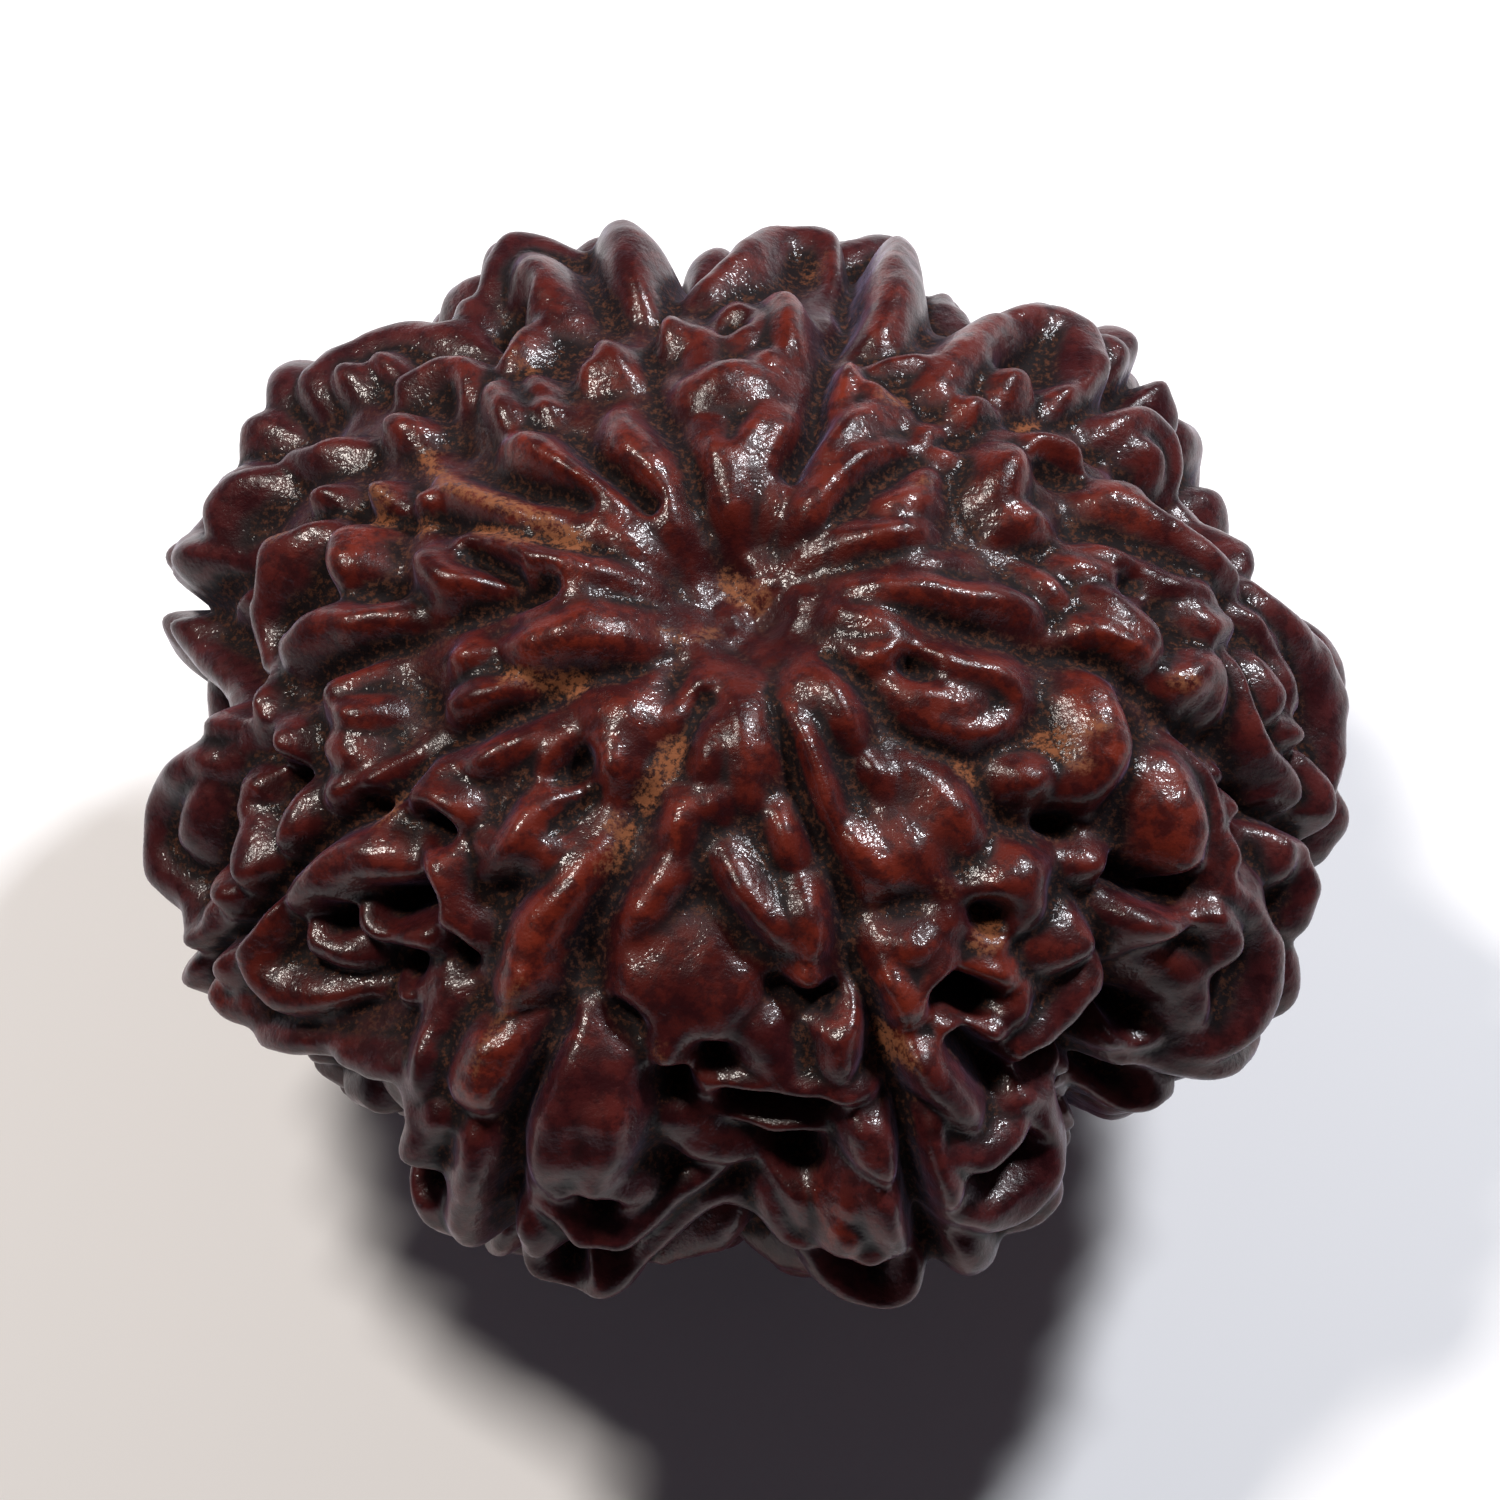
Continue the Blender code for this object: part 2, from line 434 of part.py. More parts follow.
# What the hidden side carries: bands of short ridges, laid out by a rule
BAND_START = 82
BAND_SWAY = 19
BAND_GAP = 8.2
BAND_PITCH = 2.05 * MM
LAST_BAND = 158
BAND_TURN = 20
RIDGE_REACH = (0.35, 0.75)
RIDGE_LEAN = 0.45
RIDGE_BEND = 0.2
RIDGE_STRAY = 0.12
RIDGE_HALF_WIDTH = (0.5, 0.9)
RIDGE_DROP = (-0.1, 0.3)
FOOT_REGION = 130
FOOT_LEAN = 0.4
FOOT_WIDTH = 0.75
LOWER_DROP_AT = (60, 92, 99, 125, 145, 165)
LOWER_DROP = (0.0, 0.1, 0.3, 0.3, 0.2, 0.15)


def place_on_spheroid(azimuth, colatitude):
    """The point of the spheroid at this azimuth and colatitude, in degrees."""
    azimuth = np.radians(azimuth)
    colatitude = np.radians(colatitude)
    across = HALF_WIDTH * np.sin(colatitude)
    return np.stack(
        [across * np.cos(azimuth), across * np.sin(azimuth), HALF_HEIGHT * np.cos(colatitude)],
        axis=-1,
    )


def waves(points, length, seed):
    """Smooth noise between about -1 and 1: a sum of seeded sine waves of nearly one length."""
    draw = np.random.RandomState(seed)
    total = np.zeros(len(points))
    for _ in range(WAVE_COUNT):
        direction = draw.normal(size=3)
        direction /= np.linalg.norm(direction)
        stretch = draw.uniform(*WAVE_STRETCH)
        phase = draw.uniform(0, 2 * math.pi)
        total += np.sin(points @ direction * (2 * math.pi * stretch / length) + phase)
    return total / math.sqrt(2 * WAVE_COUNT)


def branches(run):
    """The separate lines of a run, which None parts."""
    lines = [[]]
    for place in run:
        if place is None:
            lines.append([])
        else:
            lines[-1].append(place)
    return lines


def smooth_line(run):
    """Corners of a smooth line over the spheroid, through the places of the run."""
    places = np.array([place_on_spheroid(*place) for place in run])
    ends = np.concatenate([2 * places[:1] - places[1:2], places, 2 * places[-1:] - places[-2:-1]])
    corners = [places[:1]]
    for before, start, end, after in zip(ends[:-3], ends[1:-2], ends[2:-1], ends[3:]):
        pieces = max(2, math.ceil(np.linalg.norm(end - start) / PIECE_LENGTH))
        t = np.linspace(0, 1, pieces + 1)[1:, None]
        corners.append(
            0.5
            * (
                2 * start
                + (end - before) * t
                + (2 * before - 5 * start + 4 * end - after) * t**2
                + (3 * start - before - 3 * end + after) * t**3
            )
        )
    return np.concatenate(corners)


def beside_line(points, corners):
    """Each point's distance from the line, the share of the line travelled to there, and the line's length."""
    along = corners[1:] - corners[:-1]
    lengths = np.linalg.norm(along, axis=1)
    travelled = np.concatenate([[0], np.cumsum(lengths)])
    offset = points[:, None] - corners[None, :-1]
    share = np.clip(np.einsum("nmk,mk->nm", offset, along) / lengths**2, 0, 1)
    distance = np.linalg.norm(offset - share[..., None] * along, axis=2)
    nearest = distance.argmin(axis=1)
    rows = np.arange(len(points))
    run = travelled[nearest] + share[rows, nearest] * lengths[nearest]
    return distance[rows, nearest], run / travelled[-1], travelled[-1]


def near(points, corners, reach):
    """Numbers of the points that lie within reach of the line's box."""
    inside = (points > corners.min(axis=0) - reach) & (points < corners.max(axis=0) + reach)
    return np.flatnonzero(inside.all(axis=1))


def mukhi_azimuth(line, colatitude):
    """Where a mukhi line stands at this colatitude."""
    azimuths = np.degrees(np.unwrap(np.radians([place[0] for place in line])))
    return float(np.interp(colatitude, [place[1] for place in line], azimuths))


def hidden_ridges(draw):
    """Short winding ridges for the side that faces away and down, band by band between the mukhi lines."""
    ridges = []
    for number, line in enumerate(MUKHI_LINES):
        following = MUKHI_LINES[(number + 1) % len(MUKHI_LINES)]
        start = mukhi_azimuth(line, 90)
        colatitude = BAND_START - BAND_SWAY * math.sin(math.radians(start + BAND_TURN)) + BAND_GAP
        while colatitude < LAST_BAND:
            first = mukhi_azimuth(line, colatitude)
            room = (mukhi_azimuth(following, colatitude) - first) % 360
            across = HALF_WIDTH * math.sin(math.radians(colatitude)) * math.radians(room)
            count = max(1, round(across / BAND_PITCH))
            for index in range(count):
                ridges.append(short_ridge(draw, first + room * (index + 0.5) / count, colatitude, room / count))
            colatitude += BAND_GAP
    return ridges


def short_ridge(draw, azimuth, colatitude, room):
    """One ridge of a band: near the waist it may lie across, and towards the foot it runs to the end."""
    near_foot = colatitude > FOOT_REGION
    reach = BAND_GAP * draw.uniform(*RIDGE_REACH)
    lean = room * draw.uniform(-RIDGE_LEAN, RIDGE_LEAN) * (FOOT_LEAN if near_foot else 1)
    bend = room * draw.uniform(-RIDGE_BEND, RIDGE_BEND)
    centre = azimuth + room * draw.uniform(-RIDGE_STRAY, RIDGE_STRAY)
    half_width = draw.uniform(*RIDGE_HALF_WIDTH) * (FOOT_WIDTH if near_foot else 1)
    drop = float(np.interp(colatitude, LOWER_DROP_AT, LOWER_DROP)) + draw.uniform(*RIDGE_DROP)
    places = (
        (centre - lean, colatitude - reach),
        (centre + bend, colatitude),
        (centre + lean, colatitude + reach),
    )
    return (half_width, -drop) + places


def cap(share, wall_slope):
    """Fall of a ridge from its crest, in half widths: round on top, then a straight steep wall."""
    round_part = 1 - np.sqrt(1 - (ROUNDNESS * np.clip(share, 0, 1)) ** 2)
    return CREST_DEPTH * round_part + wall_slope * np.maximum(share - 1, 0)


def raised(places, ground):
    """Height of the ridges over the spheroid, with a seam wherever two of them meet."""
    height = -ground
    first = np.full(len(places), FAR)
    second = np.full(len(places), FAR)
    ridges = [ridge for face in FACES for ridge in face]
    ridges += hidden_ridges(np.random.RandomState(SEED))
    for half_width, top, *run in ridges:
        top = (top - SLIM_DROP * max(SLIM_RIDGE - half_width, 0)) * MM
        half_width *= (UPPER_WIDTH_SHARE if run[0][1] < UPPER_REGION else WIDTH_SHARE) * MM
        outside = np.full(len(places), FAR)
        for line in branches(run):
            corners = smooth_line(line)
            columns = near(places, corners, half_width * KNOB_WIDTH_SHARE + REACH)
            distance, travelled, length = beside_line(places[columns], corners)
            ridge_like = min(1, length / LONG_RIDGE)
            towards_end = np.abs(2 * travelled - 1) ** 3 * ridge_like
            width = half_width * (KNOB_WIDTH_SHARE + (1 - KNOB_WIDTH_SHARE) * ridge_like - END_TAPER * towards_end)
            wall_slope = KNOB_WALL_SLOPE + (WALL_SLOPE - KNOB_WALL_SLOPE) * ridge_like
            over = top - END_DROP * towards_end - width * cap(distance / width, wall_slope)
            height[columns] = RIDGE_BLEND * np.logaddexp(height[columns] / RIDGE_BLEND, over / RIDGE_BLEND)
            outside[columns] = np.minimum(outside[columns], distance - width)
        second = np.minimum(second, np.maximum(first, outside))
        first = np.minimum(first, outside)
    seam = np.exp(-(((second - first) / 2 / SEAM_HALF_WIDTH) ** 2))
    return height - SEAM_DEPTH * seam * np.clip((height + ground) / SEAM_FADE, 0, 1)


def grooved(places, height, ground):
    """The same height with the mukhi lines, valleys and pits cut into it."""
    grooves = [
        (MUKHI_HALF_WIDTH, MUKHI_SLOPE, ground * MUKHI_SHARE + MUKHI_EXTRA, line) for line in MUKHI_LINES
    ]
    for half_width, depth, *run in VALLEYS:
        grooves.append((half_width * MM / 2, PIT_SLOPE, np.full(len(places), depth * MM), run))
    for half_width, slope, depth, run in grooves:
        corners = smooth_line(run)
        columns = near(places, corners, half_width + GROOVE_REACH)
        distance, *_ = beside_line(places[columns], corners)
        floor = slope * np.maximum(distance - half_width, 0) - depth[columns]
        height[columns] = -VALLEY_BLEND * np.logaddexp(-height[columns] / VALLEY_BLEND, -floor / VALLEY_BLEND)
    return height


def evened(height, edges):
    """The same height with its tall crests and deep gaps held closer to the mass that carries them."""
    mass = softened(height, edges, MASS_ROUNDS)
    return mass + MASS_REACH * np.tanh((height - mass) / MASS_REACH)


def relief(places, edges):
    """Height of the bead's surface over each of the places of the spheroid."""
    sway = np.stack([waves(places, WOBBLE_LENGTH, SEED + axis) for axis in range(3)], axis=1)
    swell = waves(places, SWELL_LENGTH, SEED + 3)
    places = places + WOBBLE * sway
    colatitude = np.degrees(np.arccos(np.clip(places[:, 2] / HALF_HEIGHT, -1, 1)))
    azimuth = np.degrees(np.arctan2(places[:, 1], places[:, 0])) % 360
    ground = np.interp(colatitude, GROUND_AT, GROUND_DEPTH) * MM
    ground -= GROUND_LUMP * waves(places, LUMP_LENGTH, SEED + 4)
    height = grooved(places, evened(raised(places, ground), edges), ground)
    girth = np.interp(azimuth, *np.transpose(GIRTH)) * np.interp(colatitude, GIRTH_AT, GIRTH_SHARE)
    undercut = np.interp(colatitude, UNDERCUT_AT, UNDERCUT)
    return height + WOBBLE * swell + (girth - undercut) * MM


def softened(values, edges, rounds):
    """Values of a mesh's points, evened out between neighbours."""
    count = np.bincount(edges.ravel(), minlength=len(values))
    for _ in range(rounds):
        total = np.bincount(edges[:, 0], values[edges[:, 1]], len(values))
        total += np.bincount(edges[:, 1], values[edges[:, 0]], len(values))
        values = (values + total / count) / 2
    return values


def melted(points, edges, rounds):
    """Points of a mesh with their sharp edges rounded off."""
    return np.stack([softened(points[:, axis], edges, rounds) for axis in range(3)], axis=1)


def bead_points(directions, edges):
    """The bead's surface along each direction of a unit sphere that is stretched to the spheroid."""
    stretch = np.array([HALF_WIDTH, HALF_WIDTH, HALF_HEIGHT])
    places = directions * stretch
    height = softened(relief(places, edges), edges, SOFTENING_ROUNDS)
    ring = np.hypot(places[:, 0], places[:, 1])
    upper = directions[:, 2] > 0
    height -= np.where(upper, DIMPLE_DEPTH * np.exp(-((ring / DIMPLE_RADIUS) ** 2)), 0)
    height = np.where(~upper & (ring < FOOT_PAD_RADIUS), np.maximum(height, -FOOT_PAD_DROP), height)
    points = places * (1 + height * np.linalg.norm(directions / stretch, axis=1))[:, None]
    rise = np.clip(points[:, 2] / HALF_HEIGHT, 0, 1)
    points[:, 0] += UPPER_END_SHIFT * (1 - np.sqrt(1 - rise**2))
    return melted(points, edges, MELTING_ROUNDS)


def flatten_foot(points):
    """The lowest points brought to one level, which gives the bead its worn flat."""
    foot = -HALF_HEIGHT + FOOT_CUT
    points[points[:, 2] < foot + FOOT_LEVELLING, 2] = foot
    return points


def read_points(mesh):
    flat = np.empty(len(mesh.vertices) * 3)
    mesh.vertices.foreach_get("co", flat)
    return flat.reshape(-1, 3)


def read_edges(mesh):
    flat = np.empty(len(mesh.edges) * 2, int)
    mesh.edges.foreach_get("vertices", flat)
    return flat.reshape(-1, 2)


def write_points(mesh, points):
    mesh.vertices.foreach_set("co", points.reshape(-1))
    mesh.update()


def centre_over_foot(points):
    """The points moved so that the middle of their box stands over the origin and the foot lies at zero."""
    low = points.min(axis=0)
    high = points.max(axis=0)
    return points - np.array([(low[0] + high[0]) / 2, (low[1] + high[1]) / 2, low[2]])


def shell_material():
    material = bpy.data.materials.new("shell")
    material.use_nodes = True
    surface = material.node_tree.nodes["Principled BSDF"]
    surface.inputs["Base Color"].default_value = SHELL_COLOUR
    surface.inputs["Roughness"].default_value = SHELL_ROUGHNESS
    surface.inputs["Metallic"].default_value = 0.0
    return material


def thinned(bead):
    """The bead's mesh brought down to the wanted number of triangles, keeping its ridges."""
    thin = bead.modifiers.new("thin", "DECIMATE")
    thin.ratio = TRIANGLES / len(bead.data.polygons)
    graph = bpy.context.evaluated_depsgraph_get()
    mesh = bpy.data.meshes.new_from_object(bead.evaluated_get(graph))
    bead.modifiers.remove(thin)
    full = bead.data
    bead.data = mesh
    bpy.data.meshes.remove(full)


def make_bead():
    mesh = bpy.data.meshes.new("bead")
    shape = bmesh.new()
    bmesh.ops.create_icosphere(shape, subdivisions=ICOSPHERE_SUBDIVISIONS, radius=1.0)
    shape.to_mesh(mesh)
    shape.free()
    directions = read_points(mesh)
    directions /= np.linalg.norm(directions, axis=1)[:, None]
    write_points(mesh, flatten_foot(bead_points(directions, read_edges(mesh))))
    bead = bpy.data.objects.new("bead", mesh)
    bpy.context.scene.collection.objects.link(bead)
    bpy.context.view_layer.update()
    thinned(bead)
    write_points(bead.data, centre_over_foot(flatten_foot(read_points(bead.data))))
    bead.data.name = "bead"
    bead.data.materials.clear()
    bead.data.materials.append(shell_material())
    bead.data.shade_smooth()
    return bead


def clear_scene():
    for item in list(bpy.data.objects):
        bpy.data.objects.remove(item, do_unlink=True)


def main():
    clear_scene()
    make_bead()


main()
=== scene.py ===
"""Looks of an eight mukhi rudraksha bead, laid out as a Blender add-on and run as a script.

Metres, +Z up along the bead's own axis, +X to the right and +Y away from the viewer.
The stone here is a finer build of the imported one: the same spheroid, mukhi lines, ridges, valleys and waist,
with closer seams, pores, crumbs and a finish that follows them.
Places on the bead are (azimuth, colatitude) in degrees: azimuth turns anticlockwise from +X seen from above,
and colatitude counts from the upper end. Widths, heights and depths in the lists are in millimetres.
"""

import math

import bmesh
import bpy
import numpy as np
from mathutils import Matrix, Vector


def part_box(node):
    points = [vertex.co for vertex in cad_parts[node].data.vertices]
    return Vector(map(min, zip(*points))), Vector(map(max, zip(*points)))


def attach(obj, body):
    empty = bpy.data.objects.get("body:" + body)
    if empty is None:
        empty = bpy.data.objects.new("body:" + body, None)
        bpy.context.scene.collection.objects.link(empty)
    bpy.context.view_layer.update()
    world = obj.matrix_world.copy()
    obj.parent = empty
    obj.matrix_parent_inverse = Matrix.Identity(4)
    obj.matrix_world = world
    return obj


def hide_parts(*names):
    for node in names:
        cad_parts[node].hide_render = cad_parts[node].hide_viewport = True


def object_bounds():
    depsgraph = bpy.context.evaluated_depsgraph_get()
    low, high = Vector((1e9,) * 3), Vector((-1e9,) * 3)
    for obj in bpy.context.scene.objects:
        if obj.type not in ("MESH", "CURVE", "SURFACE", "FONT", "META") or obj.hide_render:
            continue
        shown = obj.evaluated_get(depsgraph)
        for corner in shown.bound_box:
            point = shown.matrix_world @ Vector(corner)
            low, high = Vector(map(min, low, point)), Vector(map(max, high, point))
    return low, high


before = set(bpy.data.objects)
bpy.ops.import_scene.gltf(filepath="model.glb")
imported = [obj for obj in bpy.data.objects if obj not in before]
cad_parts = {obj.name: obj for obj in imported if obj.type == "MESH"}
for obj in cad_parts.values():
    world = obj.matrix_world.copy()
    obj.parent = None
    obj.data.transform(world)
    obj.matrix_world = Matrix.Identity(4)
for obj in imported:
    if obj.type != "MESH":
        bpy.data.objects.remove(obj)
CAD_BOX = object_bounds()

bl_info = {
    "name": "Eight mukhi rudraksha bead",
    "version": (1, 0, 0),
    "blender": (4, 5, 0),
    "location": "View3D > Sidebar > Bead",
    "description": "Makes the stone of a rudraksha fruit with its finish, and a plain stage for it",
    "category": "Add Mesh",
}

MM = 0.001
BODY = "root"
NODE = "bead"

# The spheroid under the ridges
HALF_WIDTH = 13.0 * MM
HALF_HEIGHT = 8.6 * MM
UPPER_END_SHIFT = -0.6 * MM
DIMPLE_DEPTH = 1.3 * MM
DIMPLE_RADIUS = 2.2 * MM
FOOT_CUT = 0.3 * MM
FOOT_PAD_RADIUS = 1.9 * MM
FOOT_PAD_DROP = 0.15 * MM

# How far the ground between the ridges lies under their tops, against colatitude
GROUND_AT = (0, 12, 30, 45, 60, 75, 95, 125, 150, 168, 180)
GROUND_DEPTH = (0.4, 0.6, 0.85, 1.0, 1.25, 1.6, 1.9, 1.6, 1.1, 0.7, 0.45)
GROUND_LUMP = 0.13 * MM
LUMP_LENGTH = 1.4 * MM

# Shape of one ridge, from its listed width and height: its walls, ends, and how slim or short ones differ
WIDTH_SHARE = 0.95
UPPER_WIDTH_SHARE = 1.05
UPPER_REGION = 36
WALL_SLOPE = 2.6
ROUNDNESS = 0.95
CREST_DEPTH = 1.3
END_TAPER = 0.12
END_DROP = 0.35 * MM
LONG_RIDGE = 3.0 * MM
SLIM_RIDGE = 0.6
SLIM_DROP = 0.5
KNOB_WIDTH_SHARE = 1.2
KNOB_WALL_SLOPE = 4.5

# How ridges join into a mass, and the seams between them
RIDGE_BLEND = 0.1 * MM
MASS_ROUNDS = 60
MASS_REACH = 0.38 * MM
SEAM_DEPTH = 0.38 * MM
SEAM_HALF_WIDTH = 0.11 * MM

# Valleys, pits and mukhi lines
VALLEY_BLEND = 0.07 * MM
PIT_SLOPE = 5.0
MUKHI_SLOPE = 8.0
MUKHI_HALF_WIDTH = 0.1 * MM
MUKHI_SHARE = 0.95
MUKHI_EXTRA = 0.32 * MM

# Slow waver of the whole surface
WOBBLE = 0.12 * MM
WOBBLE_LENGTH = 2.6 * MM
SWELL_LENGTH = 1.7 * WOBBLE_LENGTH
WAVE_COUNT = 12
WAVE_STRETCH = (0.75, 1.45)
SEED = 8

# The mesh, the pieces that a line is cut into, and how far ridges, seams and grooves are felt
ICOSPHERE_SUBDIVISIONS = 8
PIECE_LENGTH = 0.6 * MM
REACH = 1.4 * MM
SEAM_FADE = 0.8 * MM
GROOVE_REACH = 0.8 * MM
FAR = 1.0

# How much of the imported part's box the finer stone fills
BOX_SHARE = 0.999

# Pores and crumbs: spread of sizes and depths, lowest pore as a cosine, reach in radii, and the crumbs' ring
SIZE_SPREAD = (0.6, 1.5)
DEPTH_SPREAD = (0.5, 1.2)
LOWEST_PORE = -0.2
PORE_REACH = 3
CRUMB_REACH = 2
CRUMB_RING = (1, 12)
CRUMBS_PER_CORNER = 2

# How hollows, creases and crests are told from the relief: rounds of softening, and heights
BROAD_ROUNDS = 90
NARROW_ROUNDS = 22
CREASE_DEPTH = 0.22 * MM
HOLLOW_DEPTH = 0.7 * MM
CREST_HEIGHT = 0.75 * MM

# Where the shell is soiled or redder, and where it is purple round the waist, which is partly a painted
# reflection, against the listed places or colatitude
SOIL_EDGE = 0.35
RED_EDGE = 0.6
RED_END_AT = (6, 14, 34, 50)
RED_END = (0.1, 0.35, 0.3, 0.0)
RIM_AT = (38, 70)
RIM_SHARE = 0.65

# Sizes of the finish's patches
MOTTLE_SIZE = 1.6 * MM
PATCH_SIZE = 0.45 * MM
RIPPLE_SIZE = 0.3 * MM
GRAIN_SIZE = 0.14 * MM
FINE_SIZE = 0.12 * MM

# Steps of the finish: the range of the value read, then, where it isn't 0 to 1, what it becomes
CREST_STEP = (0.1, 1.0)
CREST_MOTTLE_STEP = (0.3, 0.7, 0.2, 1.0)
RED_CREST_STEP = (-0.1, 0.8)
RED_MOTTLE_STEP = (0.25, 0.6, 0.4, 1.0)
PATCH_STEP = (0.42, 0.6, 0.0, 0.7)
# LOW_STEP and CLEFT_STEP set how hollows and creases are darkened: painted shade
LOW_STEP = (0.04, 0.4, 0.0, 0.9)
CLEFT_STEP = (0.03, 0.5, 0.0, 0.97)
DUST_HOLLOW_STEP = (0.02, 0.3)
DUST_GRAIN_STEP = (0.48, 0.64, 0.0, 0.6)
SOIL_HOLLOW_STEP = (0.0, 0.6, -0.25, 0.1)
SOIL_GRAIN_STEP = (0.35, 0.62, 0.35, 1.2)
SOIL_STEP = (0.2, 0.95)
DULL_MOTTLE_STEP = (0.3, 0.7, -0.05, 0.09)
OIL_HOLLOW_STEP = (0.0, 0.4, 1.0, 0.0)
OIL_MOTTLE_STEP = (0.35, 0.6, 0.45, 1.0)

# How much duller than the bare shell each of these is
SOIL_DULLNESS = 0.45
DUST_DULLNESS = 0.25
SHADE_DULLNESS = 0.4

# Fine unevenness of the shell and of the film of oil
GRAIN_WEIGHT = 1.5
FINE_BUMP = (0.35, 0.03 * MM)
RIPPLE_BUMP = (0.8, 0.07 * MM)

# The pale bloom seen along the shell
BLOOM_ROUGHNESS = 0.35
BLOOM_COLOUR = (0.75, 0.6, 1.0, 1.0)

# Floor, surround and camera
FLOOR_GAP = 0.02 * MM
FLOOR_ROUGHNESS = 0.9
FLOOR_GLOSS = 0.1
SURROUND_FADE = (0.0, 0.32)
SURROUND_COLOUR = (0.90, 0.82, 1.0, 1.0)
SENSOR_WIDTH = 36
CLIP_START = 0.01
CLIP_END = 10

# The photograph's frame: its side, the bead's width and where the spheroid's middle falls, in pixels
PHOTO_PIXELS = 1500
BEAD_PIXELS = 1225
MIDDLE_PIXEL = (752, 775)

# Soft lights: place, size and colour
KEY_PLACE = (0.11, 0.12, 0.19)
KEY_SIZE = 0.035
KEY_COLOUR = (0.93, 0.95, 1.0)
FILL_PLACE = (-0.10, 0.06, 0.22)
FILL_SIZE = 0.045
FILL_COLOUR = (1.0, 0.93, 0.86)

# How far the bead's waist stands out past the spheroid, in millimetres, against azimuth
GIRTH = (
    (0, -0.1), (12, -0.05), (18, -0.4), (23, -1.3), (28, -0.9), (33, -0.4), (37, -0.1), (45, 0.1),
    (57, 0.05), (66, -0.85), (74, 0.15), (84, -0.05), (92, -0.2), (97, -0.8), (100, -0.7), (104, 0.0),
    (110, 0.35), (116, 0.95), (121, 0.5), (126, -0.3), (132, 0.35), (141, 0.85), (150, 0.4), (157, 0.6),
    (163, 0.55), (169, -0.4), (175, -1.25), (180, -1.2), (184, 0.05), (189, 0.05), (194, 0), (198, -0.5),
    (203, 0.2), (208, 0.2), (214, -0.1), (222, -0.8), (228, -0.4), (234, 0.3), (240, 0.3), (256, 0.2),
    (262, -0.9), (270, -1.1), (276, -0.5), (281, 0.15), (290, 0.1), (297, -0.3), (303, -0.5), (308, -1.3),
    (316, -1.1), (322, -0.2), (330, 0.05), (342, -0.1), (350, -0.15), (360, -0.1),
)
GIRTH_AT = (0, 46, 66, 105, 140, 180)
GIRTH_SHARE = (0, 0, 1, 1, 0, 0)
UNDERCUT_AT = (0, 90, 102, 118, 150, 180)
UNDERCUT = (0, 0, 0.8, 0.75, 0.3, 0)

# The eight mukhi lines, from the upper end to the lower one
MUKHI_LINES = (
    ((40, 12), (42, 17), (43, 22), (43, 27), (42.5, 31), (42, 35), (40.5, 40), (40, 48), (41, 56),
     (43, 63), (45, 80), (42, 105), (46, 130), (44, 165)),
    ((111, 11), (109.5, 16), (108.5, 22), (107, 28), (106, 34), (103, 40), (99, 50), (98, 60), (101, 85),
     (104, 120), (108, 165)),
    ((163, 14), (162, 20), (162, 27), (160, 34), (160, 41), (159, 47), (161, 54), (164, 60), (165, 68),
     (165, 76), (160, 95), (156, 120), (158, 165)),
    ((225, 10), (220, 15), (214, 20), (210, 25), (208, 30), (207, 34), (208, 38), (208.5, 41), (208, 45),
     (207, 54), (206, 63), (207, 70), (205, 80), (209, 120), (207, 165)),
    ((256, 13), (253, 18), (251, 22), (248.5, 26), (247, 29), (248, 33), (247.5, 37), (246, 42),
     (246.5, 46), (247, 51), (246, 57), (244.5, 63), (245, 70), (245.5, 78), (246, 95), (250, 130),
     (250, 165)),
    ((285, 12), (284.5, 17), (285, 21), (286.5, 26), (287.5, 31), (288.5, 36), (286.5, 41), (286, 46),
     (286.5, 52), (287, 58), (286.5, 70), (287, 76), (288, 90), (291, 120), (288, 165)),
    ((320, 12), (318, 16), (315.5, 21), (316, 24), (320, 27), (319, 31), (317.5, 36), (320, 40),
     (318.5, 45), (319, 50), (318, 56), (317, 61), (314, 65), (310, 69), (311, 75), (312, 90), (318, 125),
     (320, 165)),
    ((350, 12), (351, 20), (350, 27), (351, 34), (351, 42), (348, 50), (345, 57), (345, 64), (347, 72),
     (348, 88), (347, 125), (350, 165)),
)

